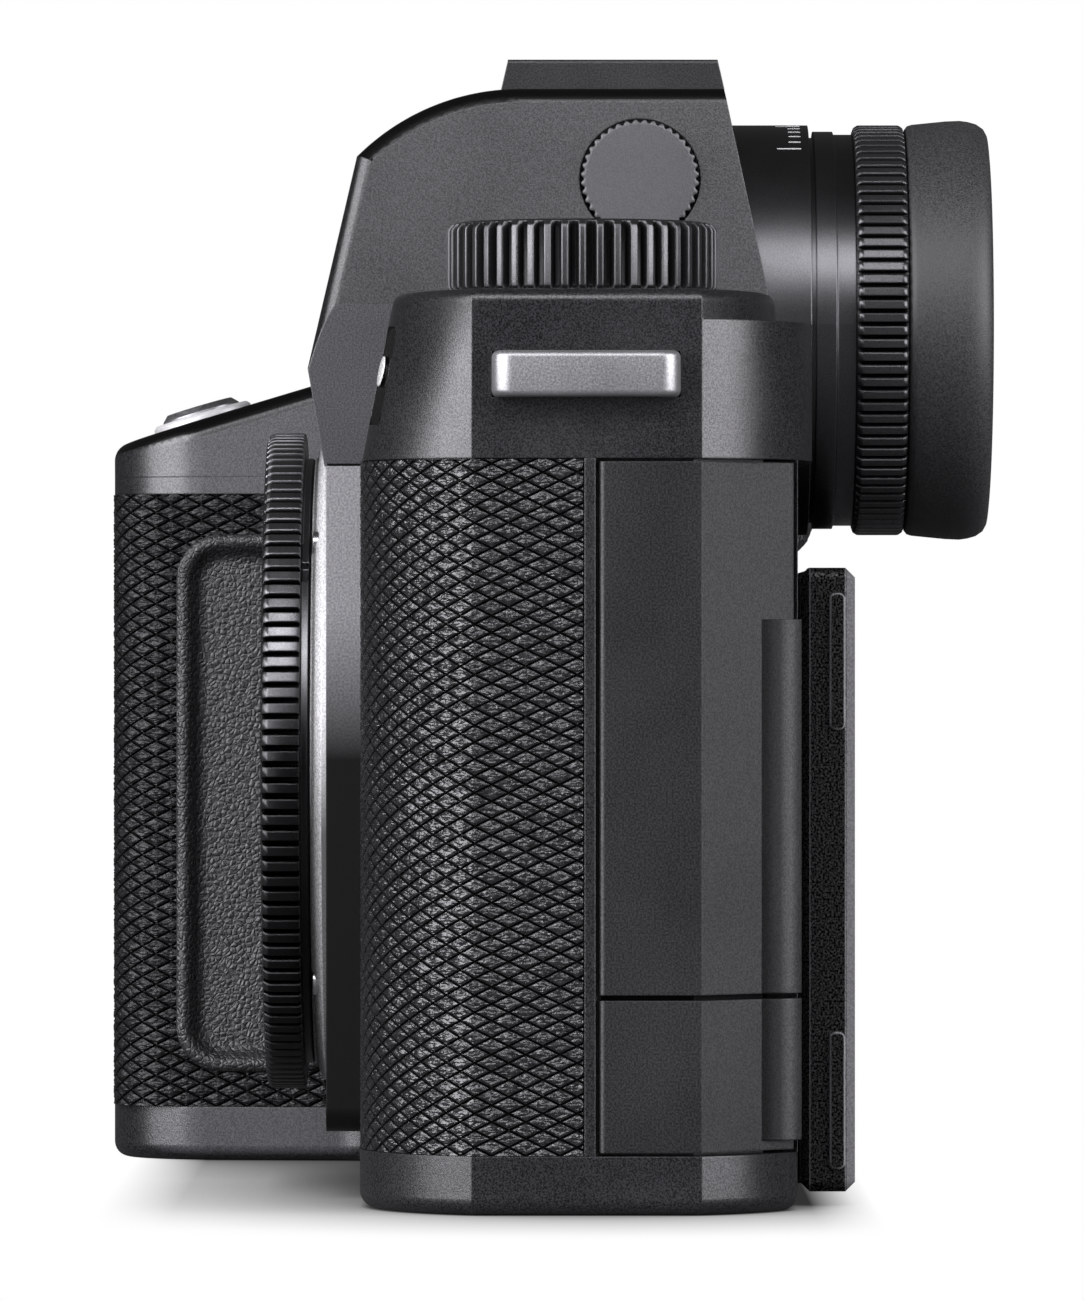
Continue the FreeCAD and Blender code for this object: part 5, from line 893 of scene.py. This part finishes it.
def disc(centre, axis, radius, thick, steps, edge):
    """A round plate with a broken edge: (verts, faces) in metres, its back on the centre."""
    axis = Vector(axis).normalized()
    side = axis.orthogonal().normalized()
    other = axis.cross(side)
    rows = [(radius, 0), (radius, thick - edge), (radius - edge, thick), (radius * 0.5, thick)]
    verts = [Vector(centre) + axis * height + (side * math.cos(2 * math.pi * k / steps)
                                               + other * math.sin(2 * math.pi * k / steps)) * reach
             for reach, height in rows for k in range(steps)]
    verts.append(Vector(centre) + axis * thick)
    faces = [(r * steps + k, r * steps + (k + 1) % steps, (r + 1) * steps + (k + 1) % steps,
              (r + 1) * steps + k) for r in range(3) for k in range(steps)]
    faces += [(3 * steps + k, 3 * steps + (k + 1) % steps, 4 * steps) for k in range(steps)]
    faces.append(list(range(steps))[::-1])
    return [vert * MM for vert in verts], faces


def small_trim():
    """Gold pins of the lens contacts, the dot where a lens lines up, and the lamp's lens."""
    parts = [disc((-8.1 + 1.8 * number, -17.49, 13.45), FRONT, 0.55, 0.12, 16, 0.05) for number in range(10)]
    piece("contact_pins", *merge(*parts), GOLD, "camera", smooth=40, slot="gold_contact")
    aside = math.radians(-35)
    spot = (28.4 * math.sin(aside), -25.08, LENS_HIGH + 28.4 * math.cos(aside))
    piece("mount_index", *disc(spot, FRONT, 0.9, 0.04, 20, 0.02), RED, "camera", smooth=40)
    outward, upward = Vector((0.1625, -0.97, 0.191)), Vector((-0.032, 0.189, 0.981))
    lens = Vector((49.4, -17.04, 76.3)) + outward * 1.1 + upward * 0.4
    piece("lamp_lens", *disc(lens, outward, 1.42, 0.12, 28, 0.08), LAMP, "camera", smooth=50)


small_trim()


def panel_seam():
    """A black strip standing for painted shade in the seam where the mount panel meets the top cover."""
    strips = [slab((side * 32.4, -21.6, 68.6), (0, side, 0), (0, 0, 1), 1.8, 0.14, 0.57, 0.01)
              for side in (-1, 1)]
    piece("panel_seam_shade", *merge(*strips), WINDOW, "camera")


panel_seam()


def strap_lug(name, mirror, replaces):
    """A strap lug with softly rounded edges all round its bar."""
    corners = [(61.8, -7.85, 0), (66.2, -7.85, 1.9), (66.2, 9.25, 1.9), (61.8, 9.25, 0), (61.8, 6.95, 0),
               (64.7, 6.95, 0.8), (64.7, -5.55, 0.8), (61.8, -5.55, 0)]
    if mirror:
        corners = [(-x - 15.2, y, r) for x, y, r in corners[::-1]]
    outline = rounded(corners, 12)
    low, high, edge, steps = 74.2, 78.4, 0.62, 6
    turns = [math.pi / 2 * k / steps for k in range(steps + 1)]
    profile = [(edge - edge * math.sin(turn), low + edge - edge * math.cos(turn)) for turn in turns]
    profile += [(inward, low + high - height) for inward, height in profile[::-1]]
    verts, faces = sweep(outline, profile)
    rows = len(profile)
    faces.append([k * rows for k in range(len(outline))][::-1])
    faces.append([k * rows + rows - 1 for k in range(len(outline))])
    piece(name, [Vector(vert) * MM for vert in verts], faces, LUG, "camera", smooth=40, replaces=(replaces,))


strap_lug("strap_lug_left", False, "left_lug")
strap_lug("strap_lug_right", True, "right_lug")


def key_signs():
    """Plain signs on the rear keys: a triangle and three bars."""
    spot = Vector((KEY_X, KEY_Y, 40.0))
    verts = [spot + Vector(v) for v in ((0.9, 0, -1.1), (0.9, 0, 1.1), (-1.1, 0, 0),
                                        (0.85, 0.04, -1.0), (0.85, 0.04, 1.0), (-1.0, 0.04, 0))]
    piece("play_sign", [vert * MM for vert in verts],
          [(3, 4, 5), (2, 1, 0), (0, 1, 4, 3), (1, 2, 5, 4), (2, 0, 3, 5)], MARK, "play_key")
    bars = [slab((KEY_X, KEY_Y, 26.0 + shift), (0, 0, 1), (1, 0, 0), 0.14, 1.2, 0.03, 0.005)
            for shift in (-0.8, 0, 0.8)]
    piece("menu_sign", *merge(*bars), MARK, "menu_key")


key_signs()

LAMP_TINT = (0.965, 0.955, 1.0)


def area(name, place, aim, size, power):
    """A rectangular lamp that faces a point."""
    lamp = bpy.data.lights.new(name, "AREA")
    lamp.shape = "RECTANGLE"
    lamp.size, lamp.size_y = size
    lamp.energy = power
    lamp.color = LAMP_TINT
    made = bpy.data.objects.new(name, lamp)
    made.location = place
    made.rotation_euler = (Vector(aim) - Vector(place)).to_track_quat("-Z", "Y").to_euler()
    bpy.context.scene.collection.objects.link(made)


def surround():
    """A dim world that is plain white to the camera."""
    world = bpy.data.worlds.new("surround")
    bpy.context.scene.world = world
    world.use_nodes = True
    tree = world.node_tree
    tree.nodes.clear()
    out = tree.nodes.new("ShaderNodeOutputWorld")
    light = tree.nodes.new("ShaderNodeBackground")
    light.inputs["Color"].default_value = (1, 1, 1, 1)
    light.inputs["Strength"].default_value = 0.055
    plain = tree.nodes.new("ShaderNodeBackground")
    plain.inputs["Color"].default_value = (1, 1, 1, 1)
    plain.inputs["Strength"].default_value = 1.0
    path = tree.nodes.new("ShaderNodeLightPath")
    mix = tree.nodes.new("ShaderNodeMixShader")
    tree.links.new(path.outputs["Is Camera Ray"], mix.inputs[0])
    tree.links.new(light.outputs[0], mix.inputs[1])
    tree.links.new(plain.outputs[0], mix.inputs[2])
    tree.links.new(mix.outputs[0], out.inputs[0])


def floor_card():
    """A floor that is white to the camera, with a contact shadow from ambient occlusion under the body.

    The shadow isn't cast by the lamps. It fades out in front of the body and behind it, each between
    the two Y in metres, as it does in the photo.
    """
    reach, front_fade, rear_fade = 0.04, (-0.044, -0.037), (0.0275, 0.0215)
    made = Shader("floor_card", (0.8, 0.8, 0.8), 0.9, specular=0.0)
    glow = made.node("ShaderNodeEmission")
    glow.inputs["Color"].default_value = (1, 1, 1, 1)
    seen = made.node("ShaderNodeLightPath")
    near = made.node("ShaderNodeAmbientOcclusion", samples=32)
    near.inputs["Distance"].default_value = reach
    open_share = made.node("ShaderNodeMath", operation="POWER")
    made.link(near.outputs["AO"], open_share.inputs[0])
    open_share.inputs[1].default_value = 2.0
    shadow = made.remap(open_share.outputs[0], 0.0, 0.96, 0.97, 0.0)
    depth = made.along("Position", "Y")
    shadow = made.product(shadow, made.remap(depth, *front_fade, 0.0, 1.0))
    shadow = made.product(shadow, made.remap(depth, *rear_fade, 0.0, 1.0))
    made.link(made.remap(shadow, 0.0, 1.0, 1.0, 0.0), glow.inputs["Strength"])
    dim = made.node("ShaderNodeBsdfDiffuse")
    dim.inputs["Color"].default_value = (0.12, 0.12, 0.12, 1)
    either = made.node("ShaderNodeMixShader")
    made.link(seen.outputs["Is Camera Ray"], either.inputs[0])
    made.link(dim.outputs[0], either.inputs[1])
    made.link(glow.outputs[0], either.inputs[2])
    made.link(either.outputs[0], made.out.inputs["Surface"])
    mesh = bpy.data.meshes.new("floor")
    mesh.from_pydata([(-6, -6, 0), (6, -6, 0), (6, 6, 0), (-6, 6, 0)], [], [(0, 1, 2, 3)])
    mesh.materials.append(made.material)
    floor = bpy.data.objects.new("floor", mesh)
    bpy.context.scene.collection.objects.link(floor)


def lights_and_camera():
    """The lamps, and the photo's camera, 1 m from the plane X 0 that holds the lens axis."""
    area("front_box", (0.5, -0.87, 0.32), (0, 0, 0.06), (1.0, 0.9), 19.5)
    area("rear_box", (0.5, 0.87, 0.35), (0, 0, 0.06), (0.8, 0.8), 12.5)
    area("high_box", (0.80, 0.0, 0.72), (0, 0, 0.06), (0.8, 0.4), 4.6)
    area("grip_card", (0.205, -0.105, 0.07), (-0.04, -0.035, 0.06), (0.08, 0.16), 0.05)

    camera = bpy.data.cameras.new("camera")
    camera.lens = 286.4
    camera.sensor_width = 36.0
    camera.clip_start = 0.05
    eye = bpy.data.objects.new("photo_camera", camera)
    eye.location = (1.0, -0.0033, 0.0513)
    eye.rotation_euler = (math.radians(90), 0, math.radians(90))
    bpy.context.scene.collection.objects.link(eye)
    bpy.context.scene.camera = eye
    bpy.context.scene.view_settings.view_transform = "Standard"


surround()
floor_card()
lights_and_camera()
